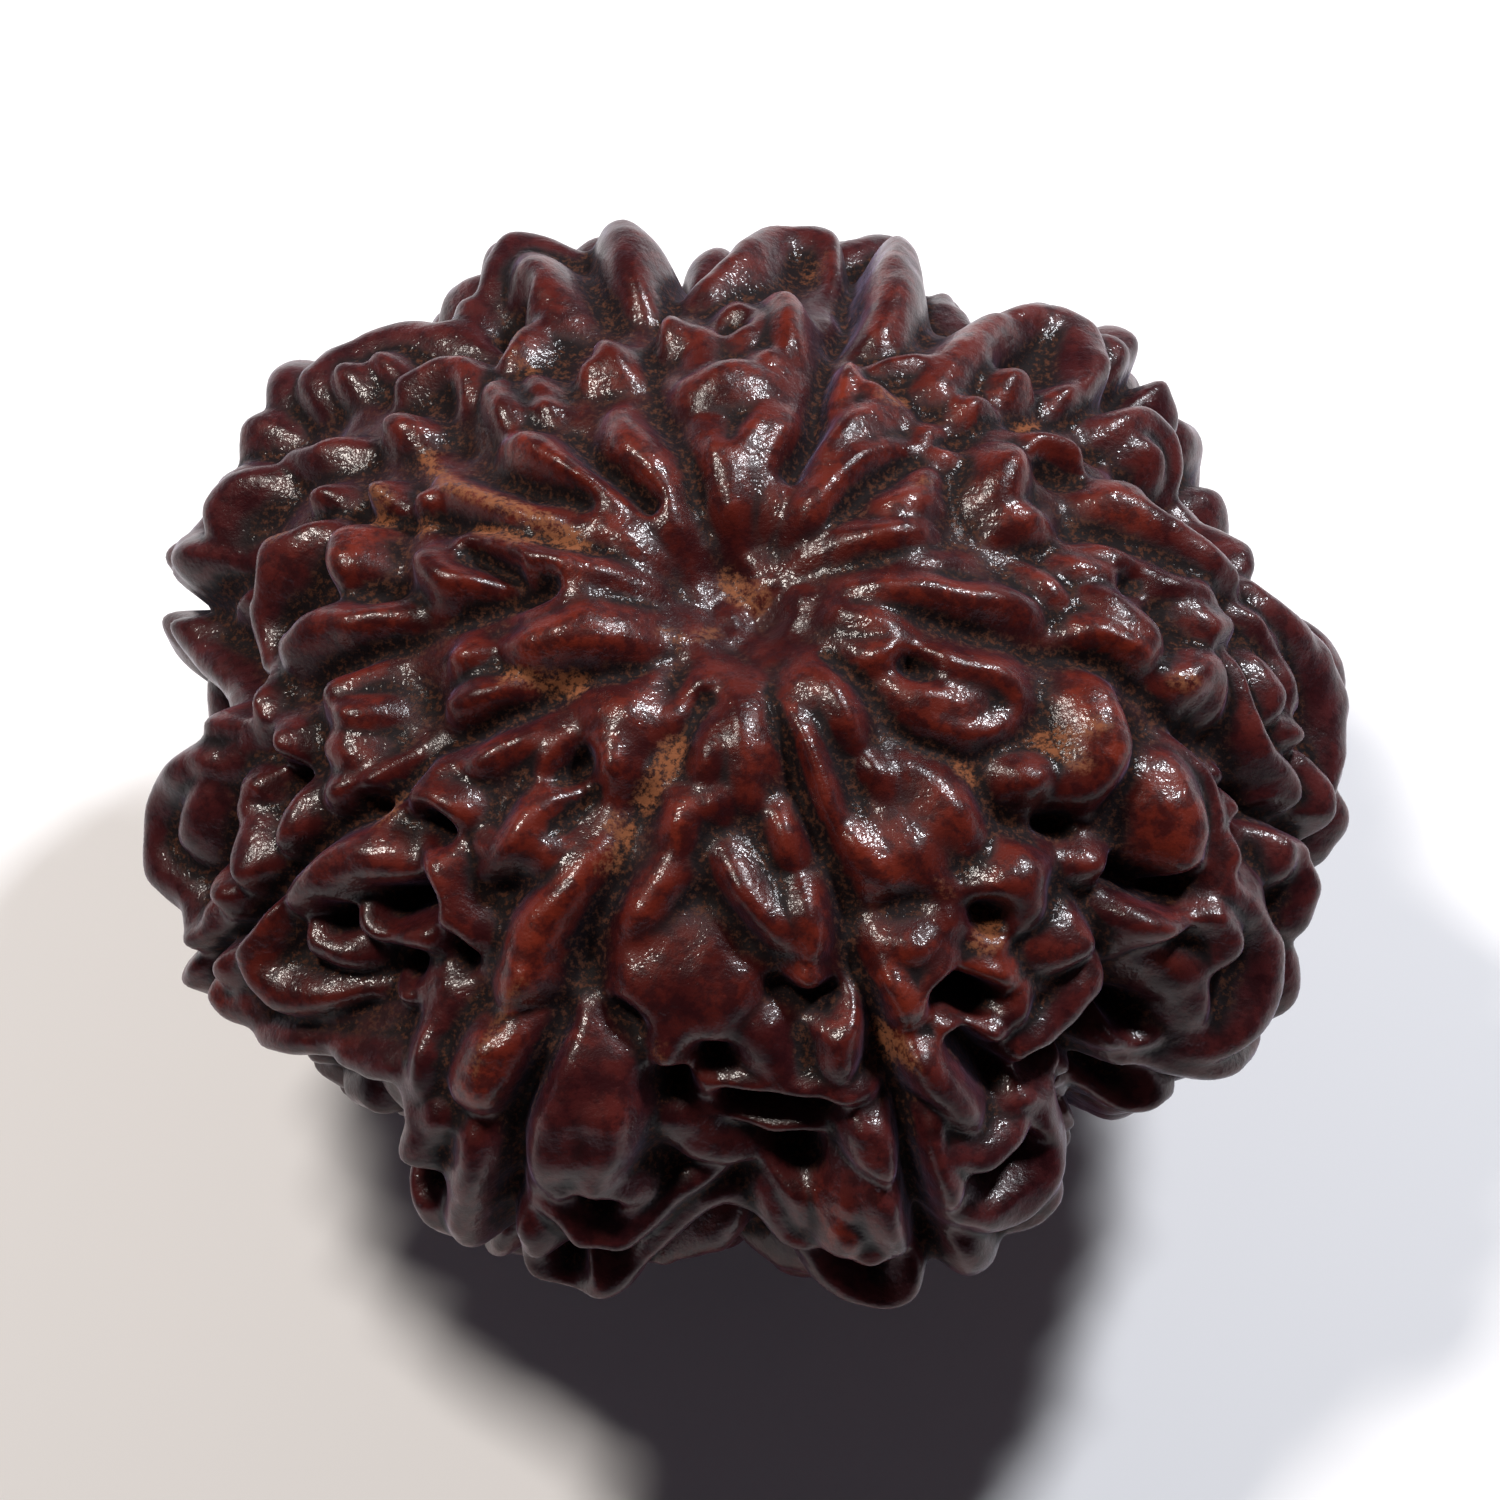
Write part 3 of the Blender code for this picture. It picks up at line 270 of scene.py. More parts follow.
# Ridges and knobs of each face: half width, height of the top over the spheroid, and the places run through
FACE_EAST_NORTH_EAST = (
    (0.45, 0, (357, 10), (0, 15), (359.5, 20), (358.5, 24), (358, 29)),
    (0.35, -0.2, (0, 10), (6, 15), (11, 20), (12, 24)),
    (0.42, 0, (28, 10), (25, 13), (22.5, 16), (21, 20)),
    (0.30, 0, (35, 6.5), (32, 10), (32, 13)),
    (0.42, 0, (30.5, 18), (29.5, 21)),
    (0.30, 0, (36, 22), (36, 23)),
    (0.52, 0, (34, 32), (31, 31.5), (28, 30), (25.5, 28.5)),
    (0.40, -0.2, (7, 31), (3, 33)),
    (0.42, -0.1, (20, 29), (19, 32)),
    (0.55, 0, (4, 37.5), (1, 40), (358, 42.5), None, (356.5, 36), (354, 38.5), (354, 41)),
    (0.30, 0, (14, 37), (12, 40), (11, 44), (10, 48)),
    (0.35, 0, (10, 35), (8, 38), (7, 42)),
    (0.50, 0, (10, 44), (8, 48), (6, 53)),
    (0.40, 0, (34, 38), (31, 41)),
    (0.40, 0, (24, 43), (22, 47), (20, 50)),
    (0.60, 0.05, (22, 42), (19, 46), (16, 50), (13, 54), (11, 58)),
    (0.55, 0, (26, 62), (22, 64), (18, 64), (15, 62)),
    (0.50, 0, (36, 52), (35, 58), (31, 61), (28, 60)),
    (0.35, 0, (33, 54), (30, 57)),
    (0.62, 0, (5, 48.5), (2.5, 51), (4, 53)),
    (0.65, 0, (352, 46), (355, 48.5), (357, 51), (354, 53)),
    (0.45, 0, (2, 52), (359, 55), (355.5, 57.5), (352.5, 59.5), (351, 64), (350.5, 68), (348, 71)),
    (0.50, 0, (0, 58.5), (357, 62)),
    (0.50, 0, (6, 62), (3, 64), (1, 66), (359, 67)),
    (0.70, 0, (12, 60), (9, 64), (8, 69), (6, 74), (3, 78), (358, 80), (353, 81)),
    (0.50, 0, (8, 58), (5, 62), (2, 66), (359, 69)),
    (0.50, 0, (354, 72), (352, 76), (349, 78), (346, 77)),
    (0.40, 0, (356, 66), (356, 67)),
)
FACE_NORTH_EAST = (
    (0.50, 0.05, (54, 9), (51.5, 12), (51, 15), (50, 18), (48, 21), (46, 24)),
    (0.70, -0.15, (59, 16), (58.5, 21), (57, 26)),
    (0.30, 0, (65.5, 19), (64, 21)),
    (0.30, -0.1, (73, 7), (70, 10), (70, 14), (71, 18)),
    (0.40, -0.1, (76, 13), (76, 17), (77, 21)),
    (0.42, 0.05, (90, 6.5), (93.5, 10), (96, 12.5), (98, 15.5), (98, 18), (95, 21), None, (90, 6.5),
     (86.5, 12), (84, 16), (82.5, 20), (81, 23)),
    (0.30, 0, (99, 17), (99, 20)),
    (0.75, -0.1, (99, 24), (92, 24), (86, 24.5)),
    (0.35, 0.1, (92.5, 24), (92.5, 26)),
    (0.40, 0, (84, 25), (84, 28)),
    (0.40, 0, (102, 34), (102, 36)),
    (0.45, 0, (84, 41), (82, 36), (81, 31)),
    (0.60, 0, (95, 46), (91, 52), (86, 60), (80, 60), (77, 54)),
    (0.40, 0, (70, 30), (68, 27), (67, 25)),
    (0.85, 0.1, (73, 66), (72, 58), (70, 48), (68, 40)),
    (0.30, 0, (63, 34), (58, 36)),
    (0.40, 0, (62, 28), (54, 27)),
    (0.55, 0, (53, 33), (55, 40), (56, 48), (55, 56), (51, 60), (47, 57), (43, 54), (41, 50)),
    (0.40, 0, (47, 41), (47, 43)),
    (0.40, 0, (42, 48), (42, 49)),
    (0.40, 0, (46, 34), (42, 36)),
    (0.35, 0, (44, 28), (42, 27)),
    (0.50, 0, (50, 64), (46, 66), (42, 68), (39, 70)),
    (0.45, -0.2, (89, 31), (91, 41)),
    (0.40, -0.3, (97, 28), (96, 36)),
)
FACE_NORTH_WEST = (
    (0.50, 0, (136, 7), (131, 9.5), (124.5, 13), (121.5, 15), (121, 18), (121, 21.5), (120.5, 24)),
    (0.50, 0, (139, 13), (140.5, 16), (140.5, 19), (139.5, 23), (139, 27), (140, 31)),
    (0.35, -0.1, (153, 9), (150, 12), (151, 16)),
    (0.45, -0.15, (152, 37), (155, 31), (157, 25), (158, 19)),
    (0.35, 0, (113, 36), (113, 31)),
    (0.30, 0, (118, 32), (118, 33)),
    (0.20, 0, (126, 36), (126, 37)),
    (0.20, 0, (127, 34), (127, 35)),
    (0.20, 0, (130.5, 31), (130.5, 32)),
    (0.42, 0, (132, 39), (134, 37), (136.5, 33.5)),
    (0.40, 0, (144, 47), (144, 45)),
    (0.42, 0, (138, 52), (134.5, 49.5), (132, 46), (133, 43.5), (135.5, 42)),
    (0.40, 0, (119, 46), (123, 43), (127, 42)),
    (0.80, 0, (141, 66), (135, 64), (129, 60), (126, 54)),
    (0.40, 0, (135.5, 58), (136, 57)),
    (0.40, 0, (139, 60), (139, 61)),
    (0.75, 0.35, (104, 62), (104, 54), (104, 45)),
    (0.50, 0, (121, 58), (115, 62), (110, 60)),
    (0.75, 0, (115, 56), (116, 50), (117, 45)),
    (0.50, 0, (125, 60), (124, 57)),
    (0.60, 0, (146, 70), (150, 73)),
    (0.45, -0.3, (149, 53), (151, 60)),
)
FACE_WEST = (
    (0.58, 0, (165, 28), (168, 25), (172, 21), (174.5, 17), (175, 13), (176, 9)),
    (0.30, -0.1, (184, 22), (186, 17), (188, 12)),
    (0.64, 0, (196.5, 23), (198, 20), (200, 17), (203, 13), (206, 10)),
    (0.35, 0, (202, 31), (204, 28), (206, 25)),
    (0.50, 0, (170, 33), (173, 30.5), (176.5, 27), (179, 24)),
    (0.60, 0, (165, 44), (169, 42.5)),
    (0.35, 0, (156, 43), (160, 41)),
    (0.30, 0, (157, 50), (157, 51)),
    (0.30, 0, (157, 35), (157, 36)),
    (0.60, 0, (181, 36), (180, 40), (179, 44), (179, 50), (178, 56)),
    (0.50, 0, (162, 49), (165, 53), (168, 57), (172, 60), (177, 59), (182, 57), (187, 56), (190, 55)),
    (0.50, 0, (154, 62), (157, 66), (160, 68)),
    (0.50, 0, (153, 72), (158, 76), (163, 78)),
    (0.60, 0, (157, 76), (162, 79), (167, 80), (172, 78), (176, 73), (180, 68), (184, 63), (187, 59)),
    (0.40, 0, (191, 45), (188, 42), (186, 39)),
    (0.50, 0, (193, 43), (195, 41)),
    (0.30, 0, (194, 27), (194, 29)),
    (0.60, 0, (203, 48), (206, 44), (208, 39)),
    (0.60, -0.15, (198, 45), (201, 43)),
    (0.35, 0, (187, 58), (189, 55), (192, 52), (194, 53), (195, 55)),
    (0.60, 0.3, (189, 64), (187, 70), (187, 76), (190, 81), (194, 83), (198, 82), (202, 80), (204, 77)),
    (0.50, 0, (190, 67), (192, 71), (195, 75)),
    (0.40, 0, (200, 71), (203, 69)),
    (0.40, 0, (201, 74), (201, 78)),
    (0.60, 0, (196, 61), (199, 62), (203, 63)),
    (0.50, 0, (201, 52), (203, 54), (205, 56)),
    (0.40, 0, (194, 60), (196, 58)),
    (0.50, -0.8, (189, 60), (189, 61)),
)
FACE_SOUTH_WEST = (
    (0.22, 0, (235, 17), (235, 18)),
    (0.20, 0, (226, 20), (226, 21)),
    (0.20, 0, (229, 18), (229, 19)),
    (0.36, 0.05, (242.5, 15), (241, 18.5), (240, 21.5), (241, 25), None, (235, 21), (240, 22)),
    (0.85, -0.15, (230, 15), (233, 19), (237, 23)),
    (0.42, -0.1, (212, 33), (210.5, 36), (208, 39)),
    (0.40, 0, (218, 24.5), (217, 27), (215, 31), (212, 34)),
    (0.32, -0.1, (221, 22), (224, 25.5), (227, 28)),
    (0.50, 0, (211, 39), (214.5, 37), (218, 36)),
    (0.85, 0, (209.5, 60), (210.5, 55), (211.5, 50), (214, 47), (218, 46)),
    (0.30, 0, (211, 45), (211, 46)),
    (0.30, 0, (208, 48), (208, 49)),
    (0.50, 0, (230, 27), (231, 31), (230, 35), (228, 39)),
    (0.35, 0, (227, 37.5), (225, 37)),
    (0.75, 0, (220, 41), (224, 43.5), (228, 45.5), (231, 46)),
    (0.50, -0.2, (217, 56), (221, 54), (225, 51), (228, 49)),
    (0.40, -0.5, (220, 52), (223, 50)),
    (0.60, 0, (207, 64), (209, 68), (211, 72), (214, 72), (217, 70), (220, 67), (222, 65)),
    (0.50, -0.3, (214, 62), (217, 62), (219, 61)),
    (0.80, -0.2, (206, 80), (209, 82), (211, 81)),
    (0.60, 0, (206, 72), (208, 76), (209, 80)),
    (0.60, 0, (212, 78), (214, 82), (217, 79), (221, 74), (225, 71), (229, 68), (232, 67)),
    (0.45, -0.6, (219, 72), (223, 68), (227, 64)),
    (0.60, -0.7, (229, 58), (231, 55), (233, 57)),
    (0.40, -0.3, (227, 60), (226, 61)),
    (0.45, 0, (232, 60), (233, 65), (232, 69)),
    (0.40, -0.2, (236, 31), (235, 36)),
    (0.60, 0, (243, 33), (241.5, 38), (240, 42), (240, 47), (240.5, 52)),
    (0.80, 0, (242, 54), (241, 58), (240, 62)),
    (0.45, 0, (237, 68), (235.5, 73), (236, 78)),
    (0.60, 0, (241, 66), (242, 72), (242, 78), (242, 84), (242, 89)),
    (0.50, -0.2, (236, 83), (238, 87), (240, 90)),
    (0.35, -0.2, (230, 64), (232, 69), (235, 71), (238, 71)),
    (0.40, -0.3, (221, 16), (222, 21)),
)
FACE_SOUTH = (
    (0.35, -0.1, (251.5, 11), (250.5, 14), (249.5, 17)),
    (0.28, 0, (255, 9.5), (254.5, 11)),
    (0.25, 0, (262, 9), (262, 11)),
    (0.38, 0, (262, 15), (261.5, 18), (261.5, 21)),
    (0.30, 0, (265, 22.5), (265, 24)),
    (0.36, 0, (258, 23.5), (257.5, 28)),
    (0.45, 0, (268, 11), (270.5, 15), (272, 19), (273.5, 23)),
    (0.35, 0, (275, 10), (279, 13.5), (281, 17), (280, 20)),
    (0.35, 0, (280, 25), (280, 30)),
    (0.42, 0, (257, 31), (255.5, 34), (254, 37), (252.5, 40)),
    (0.40, 0, (267, 29), (271, 32), (274, 35), (277, 38)),
    (0.35, 0, (281, 34), (281, 37), (280, 40)),
    (0.40, -0.2, (279, 42), (279, 43)),
    (0.75, -0.3, (255.5, 41), (254.5, 46), None, (260, 38), (258.5, 43), (257.5, 48), None, (265, 38),
     (263.5, 44), (262, 49), None, (268.5, 43), (267, 48)),
    (0.82, 0, (250, 51.5), (249.5, 55), (249.5, 60), (249.5, 66), (249.5, 71), None, (254, 54),
     (254.5, 59), (255, 64), (255, 70)),
    (0.50, 0, (248, 73), (252, 71.5), (256, 70), (259, 72)),
    (0.20, 0, (274, 48.5), (274, 49)),
    (0.45, 0, (282, 47), (281.5, 50), (281, 53)),
    (0.70, -0.3, (271, 49), (273, 53)),
    (0.55, 0, (268, 56.5), (272, 56.5), (276, 55.5), (280, 56), (283, 57)),
    (0.50, -0.25, (265, 57), (267, 60.5), (271, 62), (275, 62), (277, 63)),
    (0.65, 0, (282, 61), (283.5, 65), (284, 68)),
    (0.70, -0.25, (262, 62), (265, 66), (269, 69)),
    (0.40, 0, (248.5, 76), (252, 76.5), (254, 79), (256.5, 79.5), (259.5, 77), (263, 73.5), (267, 70.5),
     (270, 71)),
    (0.45, -0.15, (247, 84), (249, 90), (252, 91), (254, 89), (256, 91), (259, 87), (262, 82),
     (265, 77.5), (268, 77.5), (270, 80)),
    (0.50, 0, (248, 80), (249, 84)),
    (0.40, 0, (260, 49), (261, 53)),
    (0.35, 0, (265, 53), (265, 57), (266, 60)),
    (0.25, 0, (257.5, 73.5), (257.5, 74.5)),
    (0.50, -0.3, (272, 71), (274, 74), (275, 78)),
    (0.45, 0, (271, 74), (272, 79), (274, 82), (276, 81)),
    (0.45, 0, (278.5, 70), (279, 73)),
    (0.60, 0, (278, 74), (278.5, 79)),
    (0.85, 0, (283, 70), (284.5, 75), (285, 80)),
    (0.50, 0, (279, 81), (282, 80), (285, 82)),
    (0.50, 0, (275, 86), (276.5, 91), (279, 91.5), (282, 90), (285, 89), (287, 85), (286.5, 81)),
)
FACE_SOUTH_EAST = (
    (0.48, 0.1, (288, 13), (288.5, 17), (289.5, 22), (290.5, 27), (292, 31), (293, 34.5)),
    (0.38, 0.05, (314, 11), (309.5, 13.5), (307, 16), (304, 19), (303.5, 21)),
    (0.32, 0, (300, 12), (299, 15)),
    (0.38, 0, (304.5, 24), (304.5, 26)),
    (0.80, -0.35, (295, 30), (296, 34), None, (301, 29), (302.5, 35)),
    (0.60, -0.2, (311.5, 26), (312, 30), (311.5, 35)),
    (0.50, -0.3, (307, 28), (308, 33)),
    (0.50, 0, (291, 42), (295, 42.5), (298, 42)),
    (0.60, 0, (290.5, 43), (290, 47), (289, 51)),
    (0.50, 0, (298, 43), (295, 46), (291, 50)),
    (0.35, 0, (299, 41), (301, 42)),
    (0.55, 0, (309, 41), (313, 41), (317, 41.5), None, (312, 42), (311.5, 45)),
    (0.35, 0, (304, 44), (306, 46), (305, 48)),
    (0.30, -0.2, (302.5, 38), (304, 39)),
    (0.60, 0, (301.5, 49.5), (305, 50)),
    (0.45, 0, (307, 52), (305, 54), (304, 56)),
    (0.40, 0, (295, 53), (298, 55), (301, 57)),
    (0.75, 0, (311, 51), (314.5, 52), (317, 53)),
    (0.30, 0, (308.5, 54), (309, 55)),
    (0.85, 0, (317, 57), (313, 58), (309, 60), (305, 61), (302, 62)),
    (0.70, 0, (289, 52), (291, 56), (293, 60), (294, 64)),
    (0.70, 0, (292, 67), (296, 69), (299, 70)),
    (0.55, 0, (290, 63), (289.5, 69), (290, 75), (290.5, 81)),
    (0.90, 0, (291, 78), (295, 80), (299, 81), (302, 79)),
    (0.70, -0.1, (290.5, 84), (292, 89), (293, 92)),
    (0.60, 0, (302, 70), (303, 75), (303, 80), (300, 85), (296, 88)),
    (0.40, 0, (299, 66), (302, 68), (304, 71)),
    (0.35, 0, (306, 68), (305, 72), (304, 76)),
)
FACE_EAST_SOUTH_EAST = (
    (0.35, 0, (345, 10), (343, 14), (342, 18)),
    (0.42, 0, (322, 12), (328, 15.5), (334, 17.5), (337.5, 21), (339.5, 24), (341, 27.5), (339, 30.5)),
    (0.42, 0, (319, 19), (321, 22.5), (324, 25), (327, 27.5), (331, 29.5), (334, 30.5)),
    (0.60, -0.15, (326, 20), (328.5, 23.5), (333, 26)),
    (0.85, 0.05, (344, 37), (340, 39), (336, 40), (332, 40)),
    (0.45, -0.1, (325, 34), (328, 35.5)),
    (0.95, 0.05, (339, 49), (336, 51), (333, 54)),
    (0.45, -0.1, (345, 49), (343, 53), (340, 56), (336, 57.5), (332, 58)),
    (0.50, 0, (344, 58), (342, 60), (341, 62)),
    (0.45, 0, (338, 59), (336, 61)),
    (0.45, 0, (347, 68), (344, 70), (341, 71)),
    (0.40, -0.3, (322, 46), (325, 48)),
    (0.65, 0, (321.5, 55), (325, 57), (328, 58.5)),
    (0.50, -0.1, (329, 59), (330, 63), (329, 67), (326, 69)),
    (0.55, 0, (334, 61), (335, 66), (334, 72), (332, 77), (328, 80), (323, 80), (319, 78)),
    (0.80, -0.5, (322, 64), (324, 70), (322, 75)),
    (0.45, -0.1, (309, 73), (313, 75), (317, 79), (321, 84), (325, 87), (329, 90)),
    (0.50, 0, (307, 68), (311, 69), (315, 72), (318, 75)),
    (0.60, 0, (345, 72), (342, 77), (339, 80)),
    (0.60, -0.2, (337, 84), (335, 88), (333, 92)),
    (0.50, -0.4, (337, 66), (337, 68)),
)
FACES = (
    FACE_EAST_NORTH_EAST,
    FACE_NORTH_EAST,
    FACE_NORTH_WEST,
    FACE_WEST,
    FACE_SOUTH_WEST,
    FACE_SOUTH,
    FACE_SOUTH_EAST,
    FACE_EAST_SOUTH_EAST,
)

# Valleys and pits: half width, depth under the spheroid, and the places that they run through
VALLEYS = (
    (0.22, 1.5, (67, 15), (68.5, 20), (72, 26), (74, 33), (75, 45), (77, 55), (78, 65)),
    (0.22, 1.3, (181, 18), (182, 25), (184, 32), (184.5, 38), (185, 45), (186, 50)),
    (0.22, 1.4, (229.5, 24), (229, 27)),
    (0.20, 1.1, (236, 26), (235, 31)),
    (0.20, 1.2, (170, 28), (173, 25), (176, 22)),
    (0.20, 1.0, (148.5, 28), (149, 23), (148, 18)),
    (0.22, 1.9, (296, 56), (298, 61), (299, 63)),
    (0.26, 2.2, (313, 64), (307, 65), (303.5, 64)),
    (0.26, 1.2, (17, 37), (17, 38)),
    (0.18, 1.2, (8, 41), (8, 42)),
    (0.24, 1.5, (31, 37), (27, 41)),
    (0.30, 1.5, (33, 48), (33, 49)),
    (0.24, 1.5, (22, 49), (22, 50)),
    (0.22, 1.7, (358, 71), (358, 72)),
    (0.36, 1.3, (92, 36), (92, 37)),
    (0.40, 1.5, (49, 46), (49, 49)),
    (0.30, 1.9, (123, 52), (120, 52)),
    (0.22, 1.1, (131.5, 13), (132, 17), (131.5, 22), (130.5, 27)),
    (0.30, 1.4, (174, 38), (174, 40)),
    (0.32, 2.2, (166, 60), (166, 62)),
    (0.22, 1.9, (184, 58), (182, 60)),
    (0.30, 1.9, (196, 54), (197, 55)),
    (0.20, 1.6, (191, 55), (192, 56)),
    (0.22, 1.5, (216, 40), (218, 40)),
    (0.20, 1.4, (207, 45), (207, 46)),
    (0.24, 2.1, (219, 52), (221, 49), (223, 47)),
    (0.28, 1.9, (214.5, 59), (215, 58)),
    (0.28, 2.0, (224.5, 57.5), (225, 58)),
    (0.28, 1.8, (230, 50), (231, 51)),
    (0.24, 2.1, (236, 80), (237, 81)),
    (0.20, 1.5, (274, 44), (278.5, 46), (282, 45.5)),
    (0.18, 1.4, (253, 48), (256, 49.5)),
    (0.32, 2.0, (260.5, 56.5), (261, 58)),
    (0.26, 1.8, (266, 52), (266, 53)),
    (0.40, 2.5, (276, 67.5), (275, 68)),
    (0.26, 2.0, (254.5, 73.5), (255, 74)),
    (0.28, 2.3, (255.5, 83), (256, 84)),
    (0.26, 2.2, (252, 87), (252, 88)),
    (0.30, 2.3, (279, 85), (281, 86)),
    (0.24, 1.9, (268, 59.5), (273, 59.5), (278, 59)),
    (0.28, 1.7, (306, 43.5), (307, 44)),
    (0.28, 2.2, (297, 49), (300.5, 52)),
    (0.26, 1.9, (294, 74), (299, 74)),
    (0.30, 1.2, (332.5, 19.5), (333, 20.5)),
    (0.34, 1.9, (324, 41), (325, 42)),
    (0.28, 2.2, (317.5, 69), (318, 70)),
    (0.28, 2.0, (341, 62), (341, 63)),
    (0.26, 2.0, (346, 64), (346, 65)),
    (0.24, 2.0, (326, 51), (327, 54), (329, 57.5), (331, 58)),
    (0.55, 3.0, (306, 84), (312, 82), (317, 90)),
    (0.40, 2.6, (262, 89), (268, 86), (272, 89)),
)

# What the hidden side carries: bands of short ridges, laid out by a rule
BAND_START = 82
BAND_SWAY = 19
BAND_GAP = 8.2
BAND_PITCH = 2.05 * MM
LAST_BAND = 158
BAND_TURN = 20
RIDGE_REACH = (0.35, 0.75)
RIDGE_LEAN = 0.45
RIDGE_BEND = 0.2
RIDGE_STRAY = 0.12
RIDGE_HALF_WIDTH = (0.5, 0.9)
RIDGE_DROP = (-0.1, 0.3)
FOOT_REGION = 130
FOOT_LEAN = 0.4
FOOT_WIDTH = 0.75
LOWER_DROP_AT = (60, 92, 99, 125, 145, 165)
LOWER_DROP = (0.0, 0.1, 0.3, 0.3, 0.2, 0.15)

# Dried soil and pulp lodged in the grooves: half width, strength, and the places that they run through
SOIL = (
    (0.45, 1.1, (110, 3), (60, 1.5), (20, 2)),
    (0.35, 0.9, (236, 5), (232, 6)),
    (0.30, 1.2, (160, 17), (157, 22), (155.5, 26), (154, 32)),
    (0.28, 1.2, (154, 32), (152, 35), (149, 40), (147, 42)),
    (0.26, 1.1, (166, 21), (163.5, 24.5), (162, 28)),
    (0.30, 1.1, (202, 24.5), (206.5, 21.8), (211, 19.5), (213, 19.7)),
    (0.28, 0.9, (213, 9), (219, 8), (225, 8.5)),
    (0.30, 1.2, (250, 19), (250, 21.5), (247.5, 25)),
    (0.24, 1.1, (243, 28), (243, 29)),
    (0.24, 1.1, (246, 29), (245.5, 33)),
    (0.30, 1.2, (288.5, 52), (288.5, 53.5)),
    (0.34, 1.1, (304, 45.5), (306, 45.5)),
    (0.24, 1.0, (319.5, 30), (319.5, 31)),
    (0.30, 1.0, (333, 38), (334, 36)),
    (0.26, 1.0, (334, 34.5), (337, 36), (340, 37.5)),
    (0.30, 1.0, (353, 46), (353, 47)),
    (0.34, 1.1, (157, 42), (159.5, 43)),
    (0.26, 1.0, (161, 36), (161, 37)),
    (0.26, 1.0, (154, 45), (154, 46)),
    (0.30, 1.0, (163.5, 53), (163.5, 54)),
    (0.34, 1.0, (124, 44), (124, 45)),
    (0.26, 0.9, (126, 40), (126, 41)),
    (0.28, 1.0, (210, 44), (210, 45)),
    (0.34, 1.0, (58, 28), (56, 29)),
    (0.26, 0.9, (34.5, 21.5), (34.5, 22.5)),
    (0.26, 0.9, (241, 47), (240, 52), (240, 57.5)),
    (0.26, 0.9, (259.5, 50.5), (259.5, 51.5)),
    (0.26, 0.8, (302.5, 37), (303, 39)),
    (0.26, 0.8, (40.5, 41), (40.5, 43)),
    (0.30, 0.7, (81, 54), (81, 56)),
)

# Where the shell is a clearer red: half width, strength, and the places that they run through
RED = (
    (0.35, 1.0, (108, 15), (108, 30)),
    (0.50, 0.8, (141, 14), (140, 30)),
    (0.40, 0.8, (150, 15), (150, 25)),
    (0.60, 0.8, (193, 11), (199, 18), (205, 26)),
    (0.45, 1.0, (67, 25), (70, 30)),
    (0.50, 0.8, (81, 31), (84, 41)),
    (0.50, 0.6, (30, 25), (30, 27)),
    (0.50, 0.7, (40, 28), (47, 28)),
    (0.50, 0.7, (47, 40), (47, 42)),
    (0.50, 0.8, (353, 37), (355, 39)),
    (0.50, 0.7, (20, 43), (24, 50)),
    (0.80, 0.8, (343, 36), (335, 42)),
    (0.90, 0.7, (336, 48), (332, 54)),
    (0.50, 0.6, (324, 61), (324, 63)),
    (0.70, 0.8, (243, 33), (240, 47), (240, 62)),
    (0.60, 0.6, (207, 64), (214, 72), (222, 68)),
    (0.60, 0.6, (206, 80), (211, 82)),
    (0.60, 0.7, (295, 30), (295, 36)),
    (0.55, 1.0, (301, 49), (306, 50)),
    (0.35, 0.6, (279, 41), (279, 43)),
    (0.40, 0.7, (257, 24), (257, 28)),
    (0.60, 0.8, (290, 43), (290, 51)),
    (0.60, 0.8, (278, 74), (278.5, 79)),
    (0.50, 0.7, (163, 42), (171, 44)),
    (0.40, 0.6, (200, 70), (203, 70)),
)


def place_on_spheroid(azimuth, colatitude):
    """The point of the spheroid at this azimuth and colatitude, in degrees."""
    azimuth = np.radians(azimuth)
    colatitude = np.radians(colatitude)
    across = HALF_WIDTH * np.sin(colatitude)
    return np.stack(
        [across * np.cos(azimuth), across * np.sin(azimuth), HALF_HEIGHT * np.cos(colatitude)],
        axis=-1,
    )


def waves(points, length, seed):
    """Smooth noise between about -1 and 1: a sum of seeded sine waves of nearly one length."""
    draw = np.random.RandomState(seed)
    total = np.zeros(len(points))
    for _ in range(WAVE_COUNT):
        direction = draw.normal(size=3)
        direction /= np.linalg.norm(direction)
        stretch = draw.uniform(*WAVE_STRETCH)
        phase = draw.uniform(0, 2 * math.pi)
        total += np.sin(points @ direction * (2 * math.pi * stretch / length) + phase)
    return total / math.sqrt(2 * WAVE_COUNT)


def branches(run):
    """The separate lines of a run, which None parts."""
    lines = [[]]
    for place in run:
        if place is None:
            lines.append([])
        else:
            lines[-1].append(place)
    return lines


def smooth_line(run):
    """Corners of a smooth line over the spheroid, through the places of the run."""
    places = np.array([place_on_spheroid(*place) for place in run])
    ends = np.concatenate([2 * places[:1] - places[1:2], places, 2 * places[-1:] - places[-2:-1]])
    corners = [places[:1]]
    for before, start, end, after in zip(ends[:-3], ends[1:-2], ends[2:-1], ends[3:]):
        pieces = max(2, math.ceil(np.linalg.norm(end - start) / PIECE_LENGTH))
        t = np.linspace(0, 1, pieces + 1)[1:, None]
        corners.append(
            0.5
            * (
                2 * start
                + (end - before) * t
                + (2 * before - 5 * start + 4 * end - after) * t**2
                + (3 * start - before - 3 * end + after) * t**3
            )
        )
    return np.concatenate(corners)


